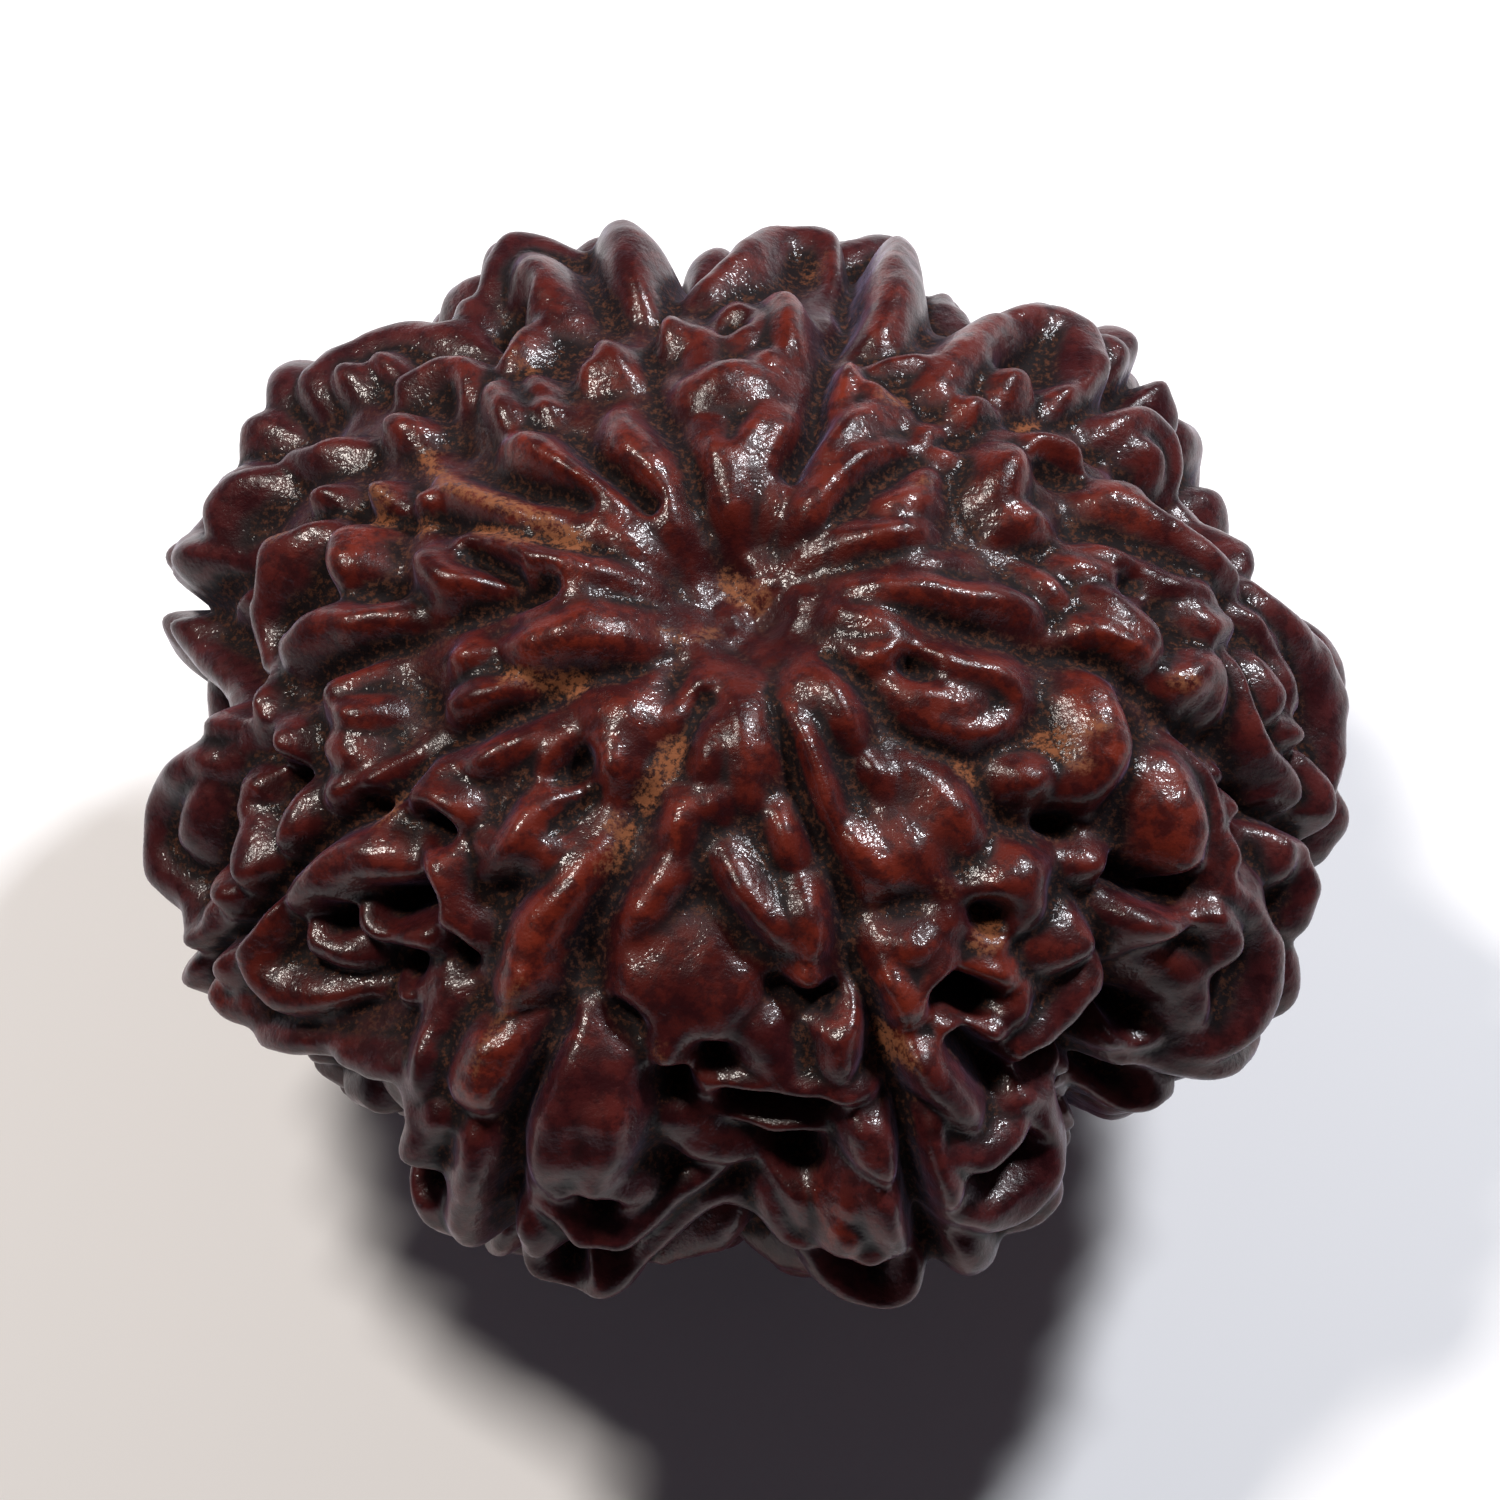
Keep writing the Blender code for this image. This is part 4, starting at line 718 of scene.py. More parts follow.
def beside_line(points, corners):
    """Each point's distance from the line, the share of the line run by there, and the line's length."""
    along = corners[1:] - corners[:-1]
    lengths = np.linalg.norm(along, axis=1)
    travelled = np.concatenate([[0], np.cumsum(lengths)])
    offset = points[:, None] - corners[None, :-1]
    share = np.clip(np.einsum("nmk,mk->nm", offset, along) / lengths**2, 0, 1)
    distance = np.linalg.norm(offset - share[..., None] * along, axis=2)
    nearest = distance.argmin(axis=1)
    rows = np.arange(len(points))
    run = travelled[nearest] + share[rows, nearest] * lengths[nearest]
    return distance[rows, nearest], run / travelled[-1], travelled[-1]


def near(points, corners, reach):
    """Numbers of the points that lie within reach of the line's box."""
    inside = (points > corners.min(axis=0) - reach) & (points < corners.max(axis=0) + reach)
    return np.flatnonzero(inside.all(axis=1))


def mukhi_azimuth(line, colatitude):
    """Where a mukhi line stands at this colatitude."""
    azimuths = np.degrees(np.unwrap(np.radians([place[0] for place in line])))
    return float(np.interp(colatitude, [place[1] for place in line], azimuths))


def hidden_ridges(draw):
    """Short winding ridges for the side that faces away and down, band by band between the mukhi lines."""
    ridges = []
    for number, line in enumerate(MUKHI_LINES):
        following = MUKHI_LINES[(number + 1) % len(MUKHI_LINES)]
        start = mukhi_azimuth(line, 90)
        colatitude = BAND_START - BAND_SWAY * math.sin(math.radians(start + BAND_TURN)) + BAND_GAP
        while colatitude < LAST_BAND:
            first = mukhi_azimuth(line, colatitude)
            room = (mukhi_azimuth(following, colatitude) - first) % 360
            across = HALF_WIDTH * math.sin(math.radians(colatitude)) * math.radians(room)
            count = max(1, round(across / BAND_PITCH))
            for index in range(count):
                middle = first + room * (index + 0.5) / count
                ridges.append(short_ridge(draw, middle, colatitude, room / count))
            colatitude += BAND_GAP
    return ridges


def short_ridge(draw, azimuth, colatitude, room):
    """One ridge of a band: near the waist it may lie across, and towards the foot it runs to the end."""
    near_foot = colatitude > FOOT_REGION
    reach = BAND_GAP * draw.uniform(*RIDGE_REACH)
    lean = room * draw.uniform(-RIDGE_LEAN, RIDGE_LEAN) * (FOOT_LEAN if near_foot else 1)
    bend = room * draw.uniform(-RIDGE_BEND, RIDGE_BEND)
    centre = azimuth + room * draw.uniform(-RIDGE_STRAY, RIDGE_STRAY)
    half_width = draw.uniform(*RIDGE_HALF_WIDTH) * (FOOT_WIDTH if near_foot else 1)
    drop = float(np.interp(colatitude, LOWER_DROP_AT, LOWER_DROP)) + draw.uniform(*RIDGE_DROP)
    places = (
        (centre - lean, colatitude - reach),
        (centre + bend, colatitude),
        (centre + lean, colatitude + reach),
    )
    return (half_width, -drop) + places


def cap(share, wall_slope):
    """Fall of a ridge from its crest, in half widths: round on top, then a straight steep wall."""
    round_part = 1 - np.sqrt(1 - (ROUNDNESS * np.clip(share, 0, 1)) ** 2)
    return CREST_DEPTH * round_part + wall_slope * np.maximum(share - 1, 0)


def raised(places, ground):
    """Height of the ridges over the spheroid, with a seam wherever two of them meet."""
    height = -ground
    first = np.full(len(places), FAR)
    second = np.full(len(places), FAR)
    ridges = [ridge for face in FACES for ridge in face]
    ridges += hidden_ridges(np.random.RandomState(SEED))
    for half_width, top, *run in ridges:
        top = (top - SLIM_DROP * max(SLIM_RIDGE - half_width, 0)) * MM
        half_width *= (UPPER_WIDTH_SHARE if run[0][1] < UPPER_REGION else WIDTH_SHARE) * MM
        outside = np.full(len(places), FAR)
        for line in branches(run):
            corners = smooth_line(line)
            columns = near(places, corners, half_width * KNOB_WIDTH_SHARE + REACH)
            distance, travelled, length = beside_line(places[columns], corners)
            ridge_like = min(1, length / LONG_RIDGE)
            towards_end = np.abs(2 * travelled - 1) ** 3 * ridge_like
            fullness = KNOB_WIDTH_SHARE + (1 - KNOB_WIDTH_SHARE) * ridge_like
            width = half_width * (fullness - END_TAPER * towards_end)
            wall_slope = KNOB_WALL_SLOPE + (WALL_SLOPE - KNOB_WALL_SLOPE) * ridge_like
            over = top - END_DROP * towards_end - width * cap(distance / width, wall_slope)
            height[columns] = RIDGE_BLEND * np.logaddexp(height[columns] / RIDGE_BLEND, over / RIDGE_BLEND)
            outside[columns] = np.minimum(outside[columns], distance - width)
        second = np.minimum(second, np.maximum(first, outside))
        first = np.minimum(first, outside)
    seam = np.exp(-(((second - first) / 2 / SEAM_HALF_WIDTH) ** 2))
    return height - SEAM_DEPTH * seam * np.clip((height + ground) / SEAM_FADE, 0, 1)


def grooved(places, height, ground):
    """The same height with the mukhi lines, valleys and pits cut into it."""
    grooves = [
        (MUKHI_HALF_WIDTH, MUKHI_SLOPE, ground * MUKHI_SHARE + MUKHI_EXTRA, line) for line in MUKHI_LINES
    ]
    for half_width, depth, *run in VALLEYS:
        grooves.append((half_width * MM / 2, PIT_SLOPE, np.full(len(places), depth * MM), run))
    for half_width, slope, depth, run in grooves:
        corners = smooth_line(run)
        columns = near(places, corners, half_width + GROOVE_REACH)
        distance, *_ = beside_line(places[columns], corners)
        floor = slope * np.maximum(distance - half_width, 0) - depth[columns]
        height[columns] = -VALLEY_BLEND * np.logaddexp(-height[columns] / VALLEY_BLEND, -floor / VALLEY_BLEND)
    return height


def evened(height, edges):
    """The same height with its tall crests and deep gaps held closer to the mass that carries them."""
    mass = softened(height, edges, MASS_ROUNDS)
    return mass + MASS_REACH * np.tanh((height - mass) / MASS_REACH)


def relief(places, edges):
    """Height of the bead's surface over each of the places of the spheroid."""
    sway = np.stack([waves(places, WOBBLE_LENGTH, SEED + axis) for axis in range(3)], axis=1)
    swell = waves(places, SWELL_LENGTH, SEED + 3)
    places = places + WOBBLE * sway
    colatitude = np.degrees(np.arccos(np.clip(places[:, 2] / HALF_HEIGHT, -1, 1)))
    azimuth = np.degrees(np.arctan2(places[:, 1], places[:, 0])) % 360
    ground = np.interp(colatitude, GROUND_AT, GROUND_DEPTH) * MM
    ground -= GROUND_LUMP * waves(places, LUMP_LENGTH, SEED + 4)
    height = grooved(places, evened(raised(places, ground), edges), ground)
    girth = np.interp(azimuth, *np.transpose(GIRTH)) * np.interp(colatitude, GIRTH_AT, GIRTH_SHARE)
    undercut = np.interp(colatitude, UNDERCUT_AT, UNDERCUT)
    return height + WOBBLE * swell + (girth - undercut) * MM


def softened(values, edges, rounds):
    """Values of a mesh's points, evened out between neighbours."""
    count = np.bincount(edges.ravel(), minlength=len(values))
    for _ in range(rounds):
        total = np.bincount(edges[:, 0], values[edges[:, 1]], len(values))
        total += np.bincount(edges[:, 1], values[edges[:, 0]], len(values))
        values = (values + total / count) / 2
    return values


def melted(points, edges, rounds):
    """Points of a mesh with their sharp edges rounded off."""
    return np.stack([softened(points[:, axis], edges, rounds) for axis in range(3)], axis=1)


def pores(places, draw, settings):
    """How deep the small pits of the upper faces are at each place."""
    depth = np.zeros(len(places))
    for _ in range(settings.pore_count):
        azimuth = draw.uniform(0, 360)
        colatitude = math.degrees(math.acos(draw.uniform(LOWEST_PORE, 1)))
        radius = settings.pore_radius * draw.uniform(*SIZE_SPREAD)
        centre = place_on_spheroid(azimuth, colatitude)
        columns = near(places, centre[None], PORE_REACH * radius)
        distance = np.linalg.norm(places[columns] - centre, axis=1)
        pit = settings.pore_depth * draw.uniform(*DEPTH_SPREAD) * np.exp(-((distance / radius) ** 2))
        depth[columns] = np.maximum(depth[columns], pit)
    return depth


def crumbs(places, draw, settings):
    """How high the dried crumbs round the upper end and along the soiled grooves stand."""
    height = np.zeros(len(places))
    spots = [
        place_on_spheroid(draw.uniform(0, 360), draw.uniform(*CRUMB_RING))
        for _ in range(settings.crumb_count)
    ]
    for half_width, _, *run in SOIL:
        corners = smooth_line(run)
        for _ in range(CRUMBS_PER_CORNER * len(corners)):
            spots.append(corners[draw.randint(len(corners))] + draw.normal(size=3) * half_width * MM / 2)
    for spot in spots:
        radius = settings.crumb_radius * draw.uniform(*SIZE_SPREAD)
        columns = near(places, spot[None], CRUMB_REACH * radius)
        distance = np.linalg.norm(places[columns] - spot, axis=1)
        lump = radius * settings.crumb_height * np.sqrt(np.maximum(1 - (distance / radius) ** 2, 0))
        height[columns] = np.maximum(height[columns], lump)
    return height


def patches(places, spots, edge):
    """How strongly each place belongs to the listed patches, 0 to 1."""
    strength = np.zeros(len(places))
    for half_width, amount, *run in spots:
        corners = smooth_line(run)
        reach = (half_width + 3 * edge) * MM
        columns = near(places, corners, reach)
        distance, *_ = beside_line(places[columns], corners)
        fade = amount / (1 + np.exp((distance / MM - half_width) / (edge / 3)))
        strength[columns] = np.maximum(strength[columns], fade)
    return strength


def stone_points(directions, height):
    """The stone's surface along each direction of a unit sphere that is stretched to the spheroid."""
    stretch = np.array([HALF_WIDTH, HALF_WIDTH, HALF_HEIGHT])
    places = directions * stretch
    ring = np.hypot(places[:, 0], places[:, 1])
    upper = directions[:, 2] > 0
    height = height - np.where(upper, DIMPLE_DEPTH * np.exp(-((ring / DIMPLE_RADIUS) ** 2)), 0)
    height = np.where(~upper & (ring < FOOT_PAD_RADIUS), np.maximum(height, -FOOT_PAD_DROP), height)
    points = places * (1 + height * np.linalg.norm(directions / stretch, axis=1))[:, None]
    rise = np.clip(points[:, 2] / HALF_HEIGHT, 0, 1)
    points[:, 0] += UPPER_END_SHIFT * (1 - np.sqrt(1 - rise**2))
    points[:, 2] = np.maximum(points[:, 2], -HALF_HEIGHT + FOOT_CUT)
    return points


def box_map(points, low, high):
    """Scale and shift that lay the points' box just inside the box from low to high."""
    own_low = points.min(axis=0)
    own_high = points.max(axis=0)
    middle = (low + high) / 2
    scale = (high - low) / (own_high - own_low) * BOX_SHARE
    shift = middle - scale * (own_low + own_high) / 2
    shift[2] = low[2] - scale[2] * own_low[2]
    return scale, shift


class StoneSettings(bpy.types.PropertyGroup):
    """Sizes of the finer surface, which a user may change."""

    pore_count: bpy.props.IntProperty(
        name="Pores", description="How many small pits the stone has", default=600, min=0
    )
    pore_radius: bpy.props.FloatProperty(
        name="Pore radius", description="Usual radius of a pore",
        default=0.16 * MM, unit="LENGTH", precision=5,
    )
    pore_depth: bpy.props.FloatProperty(
        name="Pore depth", description="Usual depth of a pore",
        default=0.15 * MM, unit="LENGTH", precision=5,
    )
    crumb_count: bpy.props.IntProperty(
        name="End crumbs", description="How many dried crumbs lie round the upper end", default=70, min=0
    )
    crumb_radius: bpy.props.FloatProperty(
        name="Crumb radius", description="Usual radius of a crumb",
        default=0.17 * MM, unit="LENGTH", precision=5,
    )
    crumb_height: bpy.props.FloatProperty(
        name="Crumb height", description="Height of a crumb as a share of its radius", default=0.55
    )
    wrinkle: bpy.props.FloatProperty(
        name="Wrinkle", description="Height of the fine wrinkles",
        default=0.045 * MM, unit="LENGTH", precision=5,
    )
    wrinkle_length: bpy.props.FloatProperty(
        name="Wrinkle length", description="Spacing of the wrinkles",
        default=0.8 * MM, unit="LENGTH", precision=5,
    )
    softening: bpy.props.IntProperty(
        name="Softening", description="How often the relief is evened out between neighbours",
        default=4, min=0,
    )
    melting: bpy.props.IntProperty(
        name="Melting", description="How often the points are evened out, which rounds the edges",
        default=6, min=0,
    )
    triangles: bpy.props.IntProperty(
        name="Triangles", description="How many triangles the stone keeps", default=190000, min=20000
    )


class FinishSettings(bpy.types.PropertyGroup):
    """Colours and gloss of the oiled shell."""

    # Painted shade: the near-black colour that hollows and creases are darkened to
    deep: bpy.props.FloatVectorProperty(
        name="Painted shade colour", description="Painted shade at the bottom of grooves and creases", subtype="COLOR",
        size=4, default=(0.0035, 0.0012, 0.0014, 1.0), min=0, max=1,
    )
    body: bpy.props.FloatVectorProperty(
        name="Shell colour", description="Shell on the slopes", subtype="COLOR",
        size=4, default=(0.013, 0.0019, 0.0028, 1.0), min=0, max=1,
    )
    crest: bpy.props.FloatVectorProperty(
        name="Crest colour", description="Shell on the ridges' tops", subtype="COLOR",
        size=4, default=(0.095, 0.0098, 0.0046, 1.0), min=0, max=1,
    )
    # Purple tint round the waist: partly the shell's own colour, partly a painted reflection of the pale
    # surround
    rim_purple_and_reflection: bpy.props.FloatVectorProperty(
        name="Rim purple and reflection", description="Purple round the waist, partly a painted reflection", subtype="COLOR",
        size=4, default=(0.042, 0.0085, 0.0100, 1.0), min=0, max=1,
    )
    dust: bpy.props.FloatVectorProperty(
        name="Dust colour", description="Thin dried dust where the shell lies low", subtype="COLOR",
        size=4, default=(0.085, 0.0300, 0.0150, 1.0), min=0, max=1,
    )
    red: bpy.props.FloatVectorProperty(
        name="Clear red", description="Shell where it is a clearer red", subtype="COLOR",
        size=4, default=(0.130, 0.0150, 0.0055, 1.0), min=0, max=1,
    )
    soil: bpy.props.FloatVectorProperty(
        name="Soil colour", description="Dried soil and pulp in the grooves", subtype="COLOR",
        size=4, default=(0.170, 0.0600, 0.0260, 1.0), min=0, max=1,
    )
    roughness: bpy.props.FloatProperty(
        name="Roughness", description="Roughness of the bare shell",
        default=0.34, min=0, max=1, subtype="FACTOR",
    )
    sheer: bpy.props.FloatProperty(
        name="Shell gloss", description="Specular level of the bare shell",
        default=0.13, min=0, max=1, subtype="FACTOR",
    )
    bloom: bpy.props.FloatProperty(
        name="Bloom", description="Strength of the pale bloom seen along the shell",
        default=0.12, min=0, max=1, subtype="FACTOR",
    )
    oil: bpy.props.FloatProperty(
        name="Oil", description="Strength of the film of oil", default=0.45, min=0, max=1, subtype="FACTOR"
    )
    oil_roughness: bpy.props.FloatProperty(
        name="Oil roughness", description="Roughness of the oil", default=0.16, min=0, max=1, subtype="FACTOR"
    )


class StudioSettings(bpy.types.PropertyGroup):
    """The plain floor, the soft lights and the camera."""

    floor_width: bpy.props.FloatProperty(
        name="Floor width", description="Width of the floor", default=1.2, unit="LENGTH"
    )
    floor_colour: bpy.props.FloatVectorProperty(
        name="Floor colour", description="Colour of the floor", subtype="COLOR",
        size=4, default=(0.85, 0.85, 0.86, 1.0), min=0, max=1,
    )
    sky: bpy.props.FloatProperty(
        name="Surround", description="Brightness of the surround near the floor", default=0.8, min=0
    )
    overhead: bpy.props.FloatProperty(
        name="Overhead", description="Brightness of the surround overhead", default=0.02, min=0
    )
    key_power: bpy.props.FloatProperty(
        name="Key light", description="Power of the main light", default=0.7, min=0, unit="POWER"
    )
    fill_power: bpy.props.FloatProperty(
        name="Fill light", description="Power of the second light", default=0.55, min=0, unit="POWER"
    )
    elevation: bpy.props.FloatProperty(
        name="Camera elevation", description="Angle of the view above the floor",
        default=math.radians(60), subtype="ANGLE",
    )
    distance: bpy.props.FloatProperty(
        name="Camera distance", description="Distance from the camera to the bead's middle",
        default=0.22, unit="LENGTH",
    )


def node(tree, kind, **values):
    """A new shader node with these inputs and settings."""
    made = tree.nodes.new(kind)
    for name, value in values.items():
        if name in made.inputs:
            made.inputs[name].default_value = value
        else:
            setattr(made, name, value)
    return made


def attribute(tree, name):
    """The value that the stone's mesh holds under this name."""
    return node(tree, "ShaderNodeAttribute", attribute_name=name).outputs["Fac"]


def noise(tree, size, detail, roughness=0.55):
    """Noise whose patches are about this size, in metres."""
    made = node(tree, "ShaderNodeTexNoise", Scale=1 / size, Detail=detail, Roughness=roughness)
    place = tree.nodes.get("place") or node(tree, "ShaderNodeTexCoord", name="place")
    tree.links.new(place.outputs["Object"], made.inputs["Vector"])
    return made.outputs["Fac"]


def ramp(tree, value, low, high, bottom=0.0, top=1.0):
    """The value carried from the range low to high onto bottom to top, and held there."""
    made = node(tree, "ShaderNodeMapRange", interpolation_type="SMOOTHSTEP")
    tree.links.new(value, made.inputs["Value"])
    made.inputs["From Min"].default_value = low
    made.inputs["From Max"].default_value = high
    made.inputs["To Min"].default_value = bottom
    made.inputs["To Max"].default_value = top
    return made.outputs["Result"]


def calculate(tree, operation, first, second):
    """One sum on two values, either of which may be a plain number."""
    made = node(tree, "ShaderNodeMath", operation=operation)
    for socket, value in zip(made.inputs, (first, second)):
        if isinstance(value, (int, float)):
            socket.default_value = value
        else:
            tree.links.new(value, socket)
    return made.outputs["Value"]


def blend_colour(tree, share, under, over):
    """The colour over laid on the colour under by this share."""
    made = node(tree, "ShaderNodeMix", data_type="RGBA")
    tree.links.new(share, made.inputs["Factor"])
    sockets = [socket for socket in made.inputs if socket.type == "RGBA"]
    for socket, colour in zip(sockets, (under, over)):
        if hasattr(colour, "default_value"):
            tree.links.new(colour, socket)
        else:
            socket.default_value = colour
    return next(socket for socket in made.outputs if socket.type == "RGBA")


def bumped(tree, height, strength, distance):
    """The surface's direction, unsettled by this height."""
    made = node(tree, "ShaderNodeBump", Strength=strength, Distance=distance)
    tree.links.new(height, made.inputs["Height"])
    return made.outputs["Normal"]


def shell_colour(tree, settings, hollow, mottle, grain):
    """Colour of the shell with painted shade in hollows and creases and a purple tint round the waist that is
    partly a painted reflection, how dusty it is, and how much soil lies on it.
    """
    crest = attribute(tree, "crest")
    top = calculate(tree, "MULTIPLY", ramp(tree, crest, *CREST_STEP), ramp(tree, mottle, *CREST_MOTTLE_STEP))
    colour = blend_colour(tree, top, settings.body[:], settings.crest[:])
    red = calculate(tree, "MULTIPLY", attribute(tree, "red"), ramp(tree, crest, *RED_CREST_STEP))
    red = calculate(tree, "MULTIPLY", red, ramp(tree, mottle, *RED_MOTTLE_STEP))
    colour = blend_colour(tree, red, colour, settings.red[:])
    # Purple round the waist, partly a painted reflection of the pale surround
    colour = blend_colour(tree, attribute(tree, "rim_purple_and_reflection"), colour, settings.rim_purple_and_reflection[:])
    patchy = ramp(tree, noise(tree, PATCH_SIZE, 5, 0.65), *PATCH_STEP)
    colour = blend_colour(tree, patchy, colour, settings.body[:])
    # Painted shade: hollows and creases darkened towards the shade colour
    hollow_shade = ramp(tree, hollow, *LOW_STEP)
    crease_shade = ramp(tree, attribute(tree, "crease"), *CLEFT_STEP)
    shade = calculate(tree, "MAXIMUM", hollow_shade, crease_shade)
    colour = blend_colour(tree, shade, colour, settings.deep[:])
    dusty = calculate(
        tree, "MULTIPLY", ramp(tree, hollow, *DUST_HOLLOW_STEP), ramp(tree, grain, *DUST_GRAIN_STEP)
    )
    colour = blend_colour(tree, dusty, colour, settings.dust[:])
    lodged = calculate(tree, "ADD", attribute(tree, "soil"), ramp(tree, hollow, *SOIL_HOLLOW_STEP))
    grainy = calculate(tree, "MULTIPLY", lodged, ramp(tree, grain, *SOIL_GRAIN_STEP))
    soil = ramp(tree, grainy, *SOIL_STEP)
    return blend_colour(tree, soil, colour, settings.soil[:]), shade, dusty, soil


def shell_finish(settings):
    """Oiled dark mahogany: painted shade near black in hollows and creases, purple round the waist that is
    partly a painted reflection, with dusty, soiled grooves.
    """
    material = bpy.data.materials.new("oiled shell")
    material.use_nodes = True
    tree = material.node_tree
    surface = tree.nodes["Principled BSDF"]
    hollow = attribute(tree, "hollow")
    mottle = noise(tree, MOTTLE_SIZE, 4)
    grain = noise(tree, GRAIN_SIZE, 4, 0.75)
    colour, shade, dusty, soil = shell_colour(tree, settings, hollow, mottle, grain)
    tree.links.new(colour, surface.inputs["Base Color"])
    dull = calculate(tree, "ADD", ramp(tree, mottle, *DULL_MOTTLE_STEP), settings.roughness)
    for cover, dullness in ((soil, SOIL_DULLNESS), (dusty, DUST_DULLNESS), (shade, SHADE_DULLNESS)):
        dull = calculate(tree, "ADD", dull, calculate(tree, "MULTIPLY", cover, dullness))
    tree.links.new(dull, surface.inputs["Roughness"])
    film = calculate(tree, "MULTIPLY", calculate(tree, "SUBTRACT", 1.0, soil), settings.oil)
    film = calculate(tree, "MULTIPLY", film, ramp(tree, hollow, *OIL_HOLLOW_STEP))
    film = calculate(tree, "MULTIPLY", film, ramp(tree, mottle, *OIL_MOTTLE_STEP))
    tree.links.new(film, surface.inputs["Coat Weight"])
    surface.inputs["Coat Roughness"].default_value = settings.oil_roughness
    surface.inputs["Specular IOR Level"].default_value = settings.sheer
    surface.inputs["Sheen Weight"].default_value = settings.bloom
    surface.inputs["Sheen Roughness"].default_value = BLOOM_ROUGHNESS
    surface.inputs["Sheen Tint"].default_value = BLOOM_COLOUR
    fine = calculate(
        tree, "ADD", noise(tree, FINE_SIZE, 2, 0.6), calculate(tree, "MULTIPLY", grain, GRAIN_WEIGHT)
    )
    tree.links.new(bumped(tree, fine, *FINE_BUMP), surface.inputs["Normal"])
    ripple = noise(tree, RIPPLE_SIZE, 3, 0.6)
    tree.links.new(bumped(tree, ripple, *RIPPLE_BUMP), surface.inputs["Coat Normal"])
    return material


def read_points(mesh):
    """Places of the mesh's points, one row each."""
    flat = np.empty(len(mesh.vertices) * 3)
    mesh.vertices.foreach_get("co", flat)
    return flat.reshape(-1, 3)


def read_edges(mesh):
    """Numbers of the two points of each edge."""
    flat = np.empty(len(mesh.edges) * 2, int)
    mesh.edges.foreach_get("vertices", flat)
    return flat.reshape(-1, 2)


def keep_value(mesh, name, values):
    """Stores one number for each of the mesh's points, for the finish to read."""
    layer = mesh.attributes.new(name, "FLOAT", "POINT")
    layer.data.foreach_set("value", values.astype(np.float32))


def thinned(stone, triangles):
    """The stone's mesh brought down to the wanted number of triangles."""
    thin = stone.modifiers.new("thin", "DECIMATE")
    thin.ratio = min(1.0, triangles / len(stone.data.polygons))
    graph = bpy.context.evaluated_depsgraph_get()
    mesh = bpy.data.meshes.new_from_object(stone.evaluated_get(graph))
    stone.modifiers.remove(thin)
    stone.data = mesh


def make_stone(settings, finish):
    """The bead's stone as one closed mesh, with its finish."""
    mesh = bpy.data.meshes.new("stone")
    shape = bmesh.new()
    bmesh.ops.create_icosphere(shape, subdivisions=ICOSPHERE_SUBDIVISIONS, radius=1.0)
    shape.to_mesh(mesh)
    shape.free()
    directions = read_points(mesh)
    directions /= np.linalg.norm(directions, axis=1)[:, None]
    edges = read_edges(mesh)
    places = directions * np.array([HALF_WIDTH, HALF_WIDTH, HALF_HEIGHT])
    height = softened(relief(places, edges), edges, settings.softening)
    draw = np.random.RandomState(SEED)
    # Hollow and crease measures, which the finish uses for painted shade as well as dust and soil
    broad = softened(height, edges, BROAD_ROUNDS)
    hollow = np.clip((broad - height) / HOLLOW_DEPTH, 0, 1)
    crease = np.clip((softened(height, edges, NARROW_ROUNDS) - height) / CREASE_DEPTH, 0, 1)
    crest = np.clip(0.5 + (height - broad) / CREST_HEIGHT, 0, 1)
    height = height - pores(places, draw, settings) * crest
    height += crumbs(places, draw, settings)
    height += settings.wrinkle * waves(places, settings.wrinkle_length, SEED + 5)
    height += settings.wrinkle / 2 * waves(places, settings.wrinkle_length / 2, SEED + 6)
    points = melted(stone_points(directions, height), edges, settings.melting)
    low, high = (np.array(corner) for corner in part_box(NODE))
    scale, shift = box_map(points, low, high)
    points = points * scale + shift
    mesh.vertices.foreach_set("co", points.reshape(-1))
    keep_value(mesh, "hollow", hollow)
    keep_value(mesh, "crest", crest)
    keep_value(mesh, "crease", crease)
    keep_value(mesh, "soil", patches(places, SOIL, SOIL_EDGE))
    colatitude = np.degrees(np.arccos(np.clip(places[:, 2] / HALF_HEIGHT, -1, 1)))
    red = np.maximum(patches(places, RED, RED_EDGE), np.interp(colatitude, RED_END_AT, RED_END))
    keep_value(mesh, "red", red)
    # Share of the purple waist tint, which is partly a painted reflection
    keep_value(mesh, "rim_purple_and_reflection", RIM_SHARE * np.interp(colatitude, RIM_AT, (0, 1)) * (1 - red))
    stone = bpy.data.objects.new("rudraksha_stone", mesh)
    bpy.context.scene.collection.objects.link(stone)
    bpy.context.view_layer.update()
    thinned(stone, settings.triangles)
    stone.data.shade_smooth()
    stone.data.materials.clear()
    stone.data.materials.append(shell_finish(finish))
    stone["spheroid_middle"] = shift.tolist()
    return stone


def area_light(name, place, aim, size, power, colour):
    """A square light that shines from place to aim."""
    data = bpy.data.lights.new(name, "AREA")
    data.size = size
    data.energy = power
    data.color = colour
    light = bpy.data.objects.new(name, data)
    light.location = place
    light.rotation_mode = "QUATERNION"
    light.rotation_quaternion = (Vector(aim) - Vector(place)).to_track_quat("-Z", "Y")
    bpy.context.scene.collection.objects.link(light)
    return light


def plain_floor(settings):
    """A pale matte floor that the bead stands on."""
    half = settings.floor_width / 2
    mesh = bpy.data.meshes.new("floor")
    corners = [(-half, -half, 0), (half, -half, 0), (half, half, 0), (-half, half, 0)]
    mesh.from_pydata(corners, [], [(0, 1, 2, 3)])
    floor = bpy.data.objects.new("floor", mesh)
    floor.location.z = CAD_BOX[0].z - FLOOR_GAP
    material = bpy.data.materials.new("pale floor")
    material.use_nodes = True
    surface = material.node_tree.nodes["Principled BSDF"]
    surface.inputs["Base Color"].default_value = settings.floor_colour[:]
    surface.inputs["Roughness"].default_value = FLOOR_ROUGHNESS
    surface.inputs["Specular IOR Level"].default_value = FLOOR_GLOSS
    mesh.materials.append(material)
    bpy.context.scene.collection.objects.link(floor)
    return floor


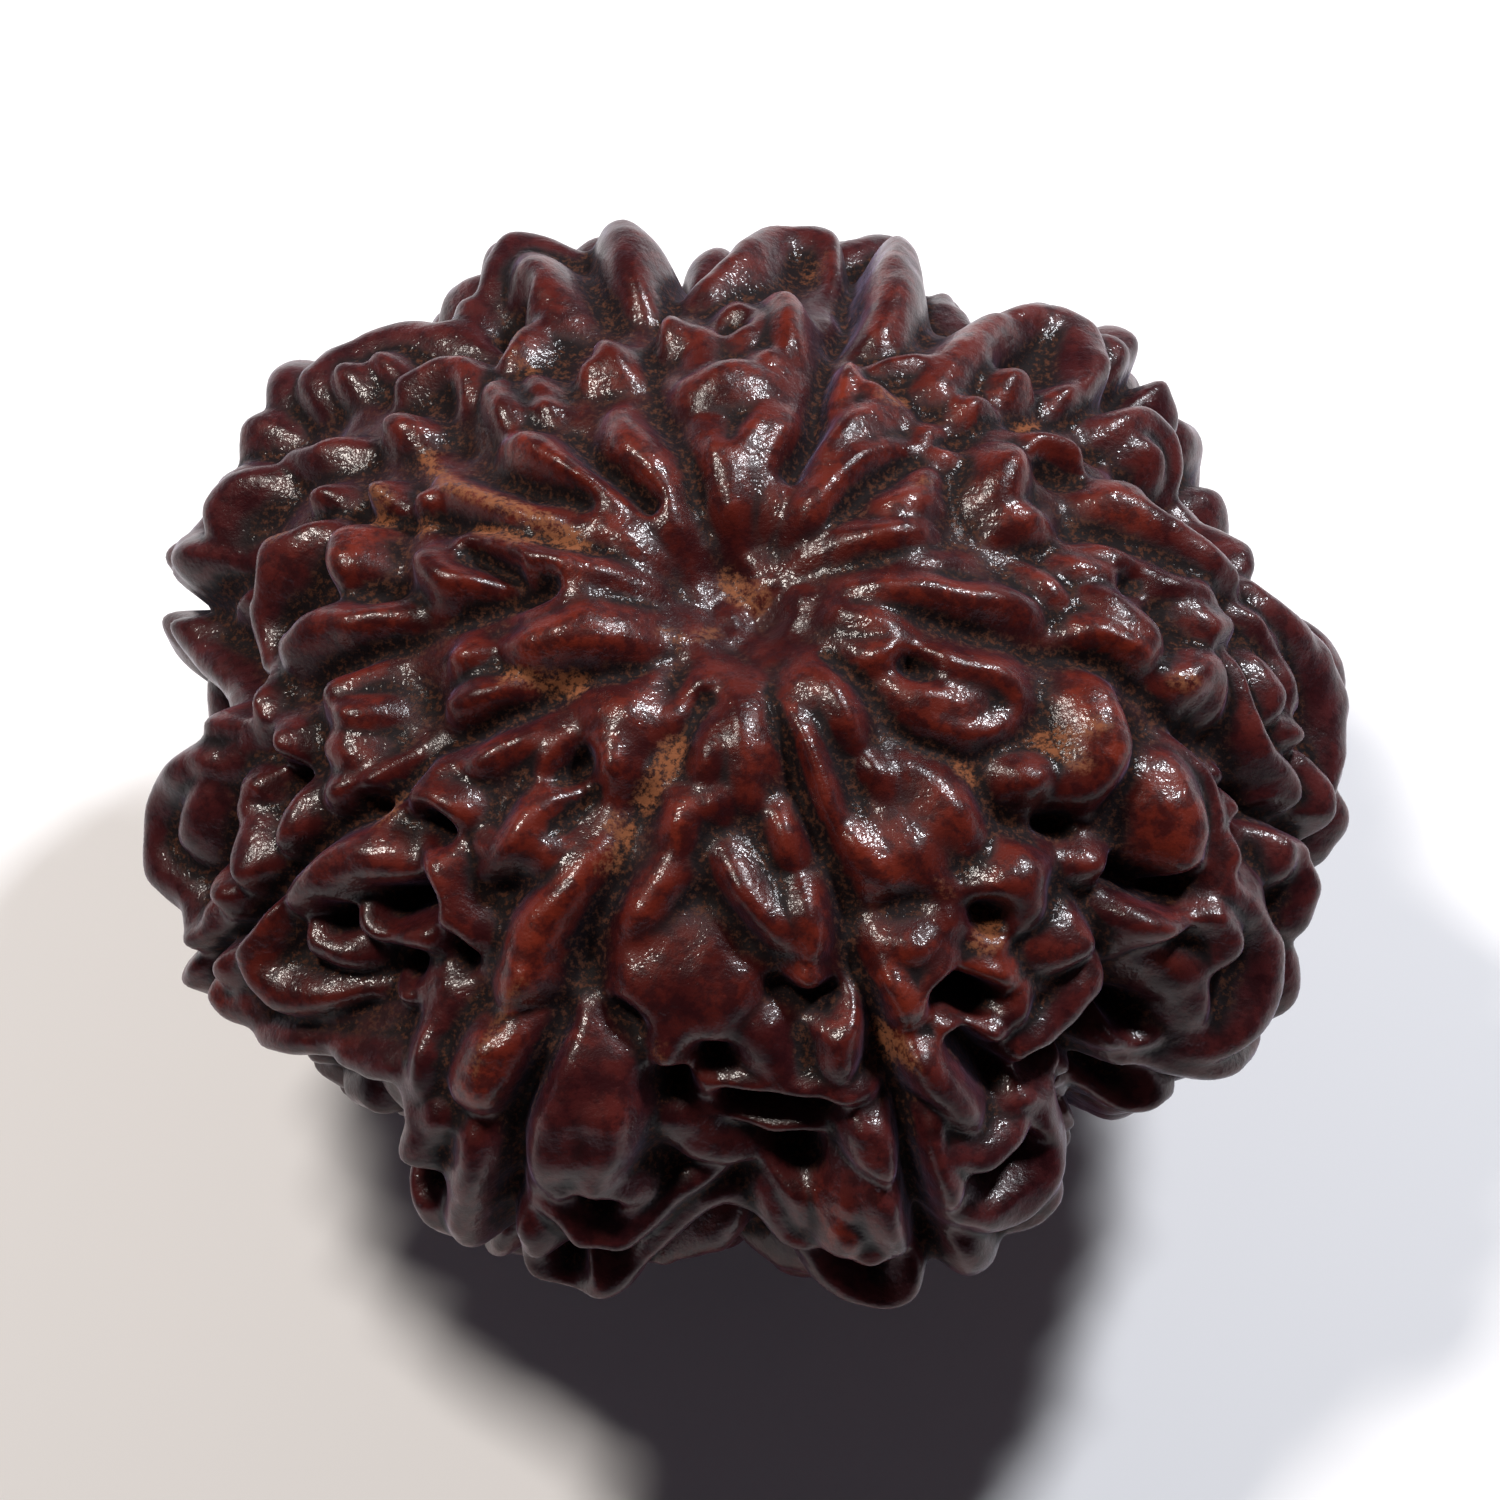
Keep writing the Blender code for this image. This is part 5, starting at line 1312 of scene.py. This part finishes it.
def pale_surround(settings):
    """A surround that is bright near the floor and dim overhead, as in a light box open at the top."""
    world = bpy.data.worlds.new("surround")
    world.use_nodes = True
    tree = world.node_tree
    direction = node(tree, "ShaderNodeTexCoord")
    split = node(tree, "ShaderNodeSeparateXYZ")
    tree.links.new(direction.outputs["Generated"], split.inputs["Vector"])
    strength = ramp(tree, split.outputs["Z"], *SURROUND_FADE, settings.sky, settings.overhead)
    background = tree.nodes["Background"]
    background.inputs["Color"].default_value = SURROUND_COLOUR
    tree.links.new(strength, background.inputs["Strength"])
    return world


def place_camera(settings, middle):
    """A camera at the photograph's angle, aimed so that the bead falls where the photograph has it."""
    back = Vector((0, -math.cos(settings.elevation), math.sin(settings.elevation)))
    data = bpy.data.cameras.new("view")
    data.sensor_width = SENSOR_WIDTH
    focal_pixels = BEAD_PIXELS / (2 * HALF_WIDTH) * settings.distance
    data.lens = focal_pixels / PHOTO_PIXELS * data.sensor_width
    data.shift_x = (PHOTO_PIXELS / 2 - MIDDLE_PIXEL[0]) / PHOTO_PIXELS
    data.shift_y = (MIDDLE_PIXEL[1] - PHOTO_PIXELS / 2) / PHOTO_PIXELS
    data.clip_start = CLIP_START
    data.clip_end = CLIP_END
    camera = bpy.data.objects.new("view", data)
    camera.location = Vector(middle) + back * settings.distance
    camera.rotation_mode = "QUATERNION"
    camera.rotation_quaternion = (-back).to_track_quat("-Z", "Y")
    bpy.context.scene.collection.objects.link(camera)
    bpy.context.scene.camera = camera


class BEAD_OT_make_stone(bpy.types.Operator):
    """Make the bead's stone with its ridges, mukhi lines and oiled finish"""

    bl_idname = "rudraksha.make_stone"
    bl_label = "Make the stone"

    def execute(self, context):
        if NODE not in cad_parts:
            raise RuntimeError("The packed model has no node named bead")
        stone = make_stone(context.scene.stone_settings, context.scene.finish_settings)
        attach(stone, BODY)
        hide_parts(NODE)
        return {"FINISHED"}


class BEAD_OT_make_stage(bpy.types.Operator):
    """Make the pale floor, the soft lights and the camera"""

    bl_idname = "rudraksha.make_stage"
    bl_label = "Make the stage"

    def execute(self, context):
        stone = bpy.data.objects.get("rudraksha_stone")
        if stone is None:
            raise RuntimeError("Make the stone first: the camera is aimed at it")
        settings = context.scene.studio_settings
        plain_floor(settings)
        middle = Vector(stone["spheroid_middle"])
        for name, place, size, power, colour in (
            ("key", KEY_PLACE, KEY_SIZE, settings.key_power, KEY_COLOUR),
            ("fill", FILL_PLACE, FILL_SIZE, settings.fill_power, FILL_COLOUR),
        ):
            area_light(name, place, middle, size, power, colour)
        context.scene.world = pale_surround(settings)
        context.scene.view_settings.view_transform = "Standard"
        place_camera(settings, middle)
        return {"FINISHED"}


class BEAD_PT_panel(bpy.types.Panel):
    """The bead's settings and the two steps that make it"""

    bl_idname = "BEAD_PT_panel"
    bl_label = "Rudraksha bead"
    bl_space_type = "VIEW_3D"
    bl_region_type = "UI"
    bl_category = "Bead"

    def draw(self, context):
        layout = self.layout
        for title, group, step in (
            ("Stone", context.scene.stone_settings, None),
            ("Finish", context.scene.finish_settings, BEAD_OT_make_stone),
            ("Stage", context.scene.studio_settings, BEAD_OT_make_stage),
        ):
            box = layout.box()
            box.label(text=title)
            for name in group.__annotations__:
                box.prop(group, name)
            if step:
                box.operator(step.bl_idname)


CLASSES = (
    StoneSettings,
    FinishSettings,
    StudioSettings,
    BEAD_OT_make_stone,
    BEAD_OT_make_stage,
    BEAD_PT_panel,
)


def register():
    for item in CLASSES:
        bpy.utils.register_class(item)
    bpy.types.Scene.stone_settings = bpy.props.PointerProperty(type=StoneSettings)
    bpy.types.Scene.finish_settings = bpy.props.PointerProperty(type=FinishSettings)
    bpy.types.Scene.studio_settings = bpy.props.PointerProperty(type=StudioSettings)


def unregister():
    del bpy.types.Scene.studio_settings
    del bpy.types.Scene.finish_settings
    del bpy.types.Scene.stone_settings
    for item in reversed(CLASSES):
        bpy.utils.unregister_class(item)


def main():
    """Makes the stone and its stage."""
    register()
    bpy.ops.rudraksha.make_stone()
    bpy.ops.rudraksha.make_stage()


if __name__ == "__main__":
    main()
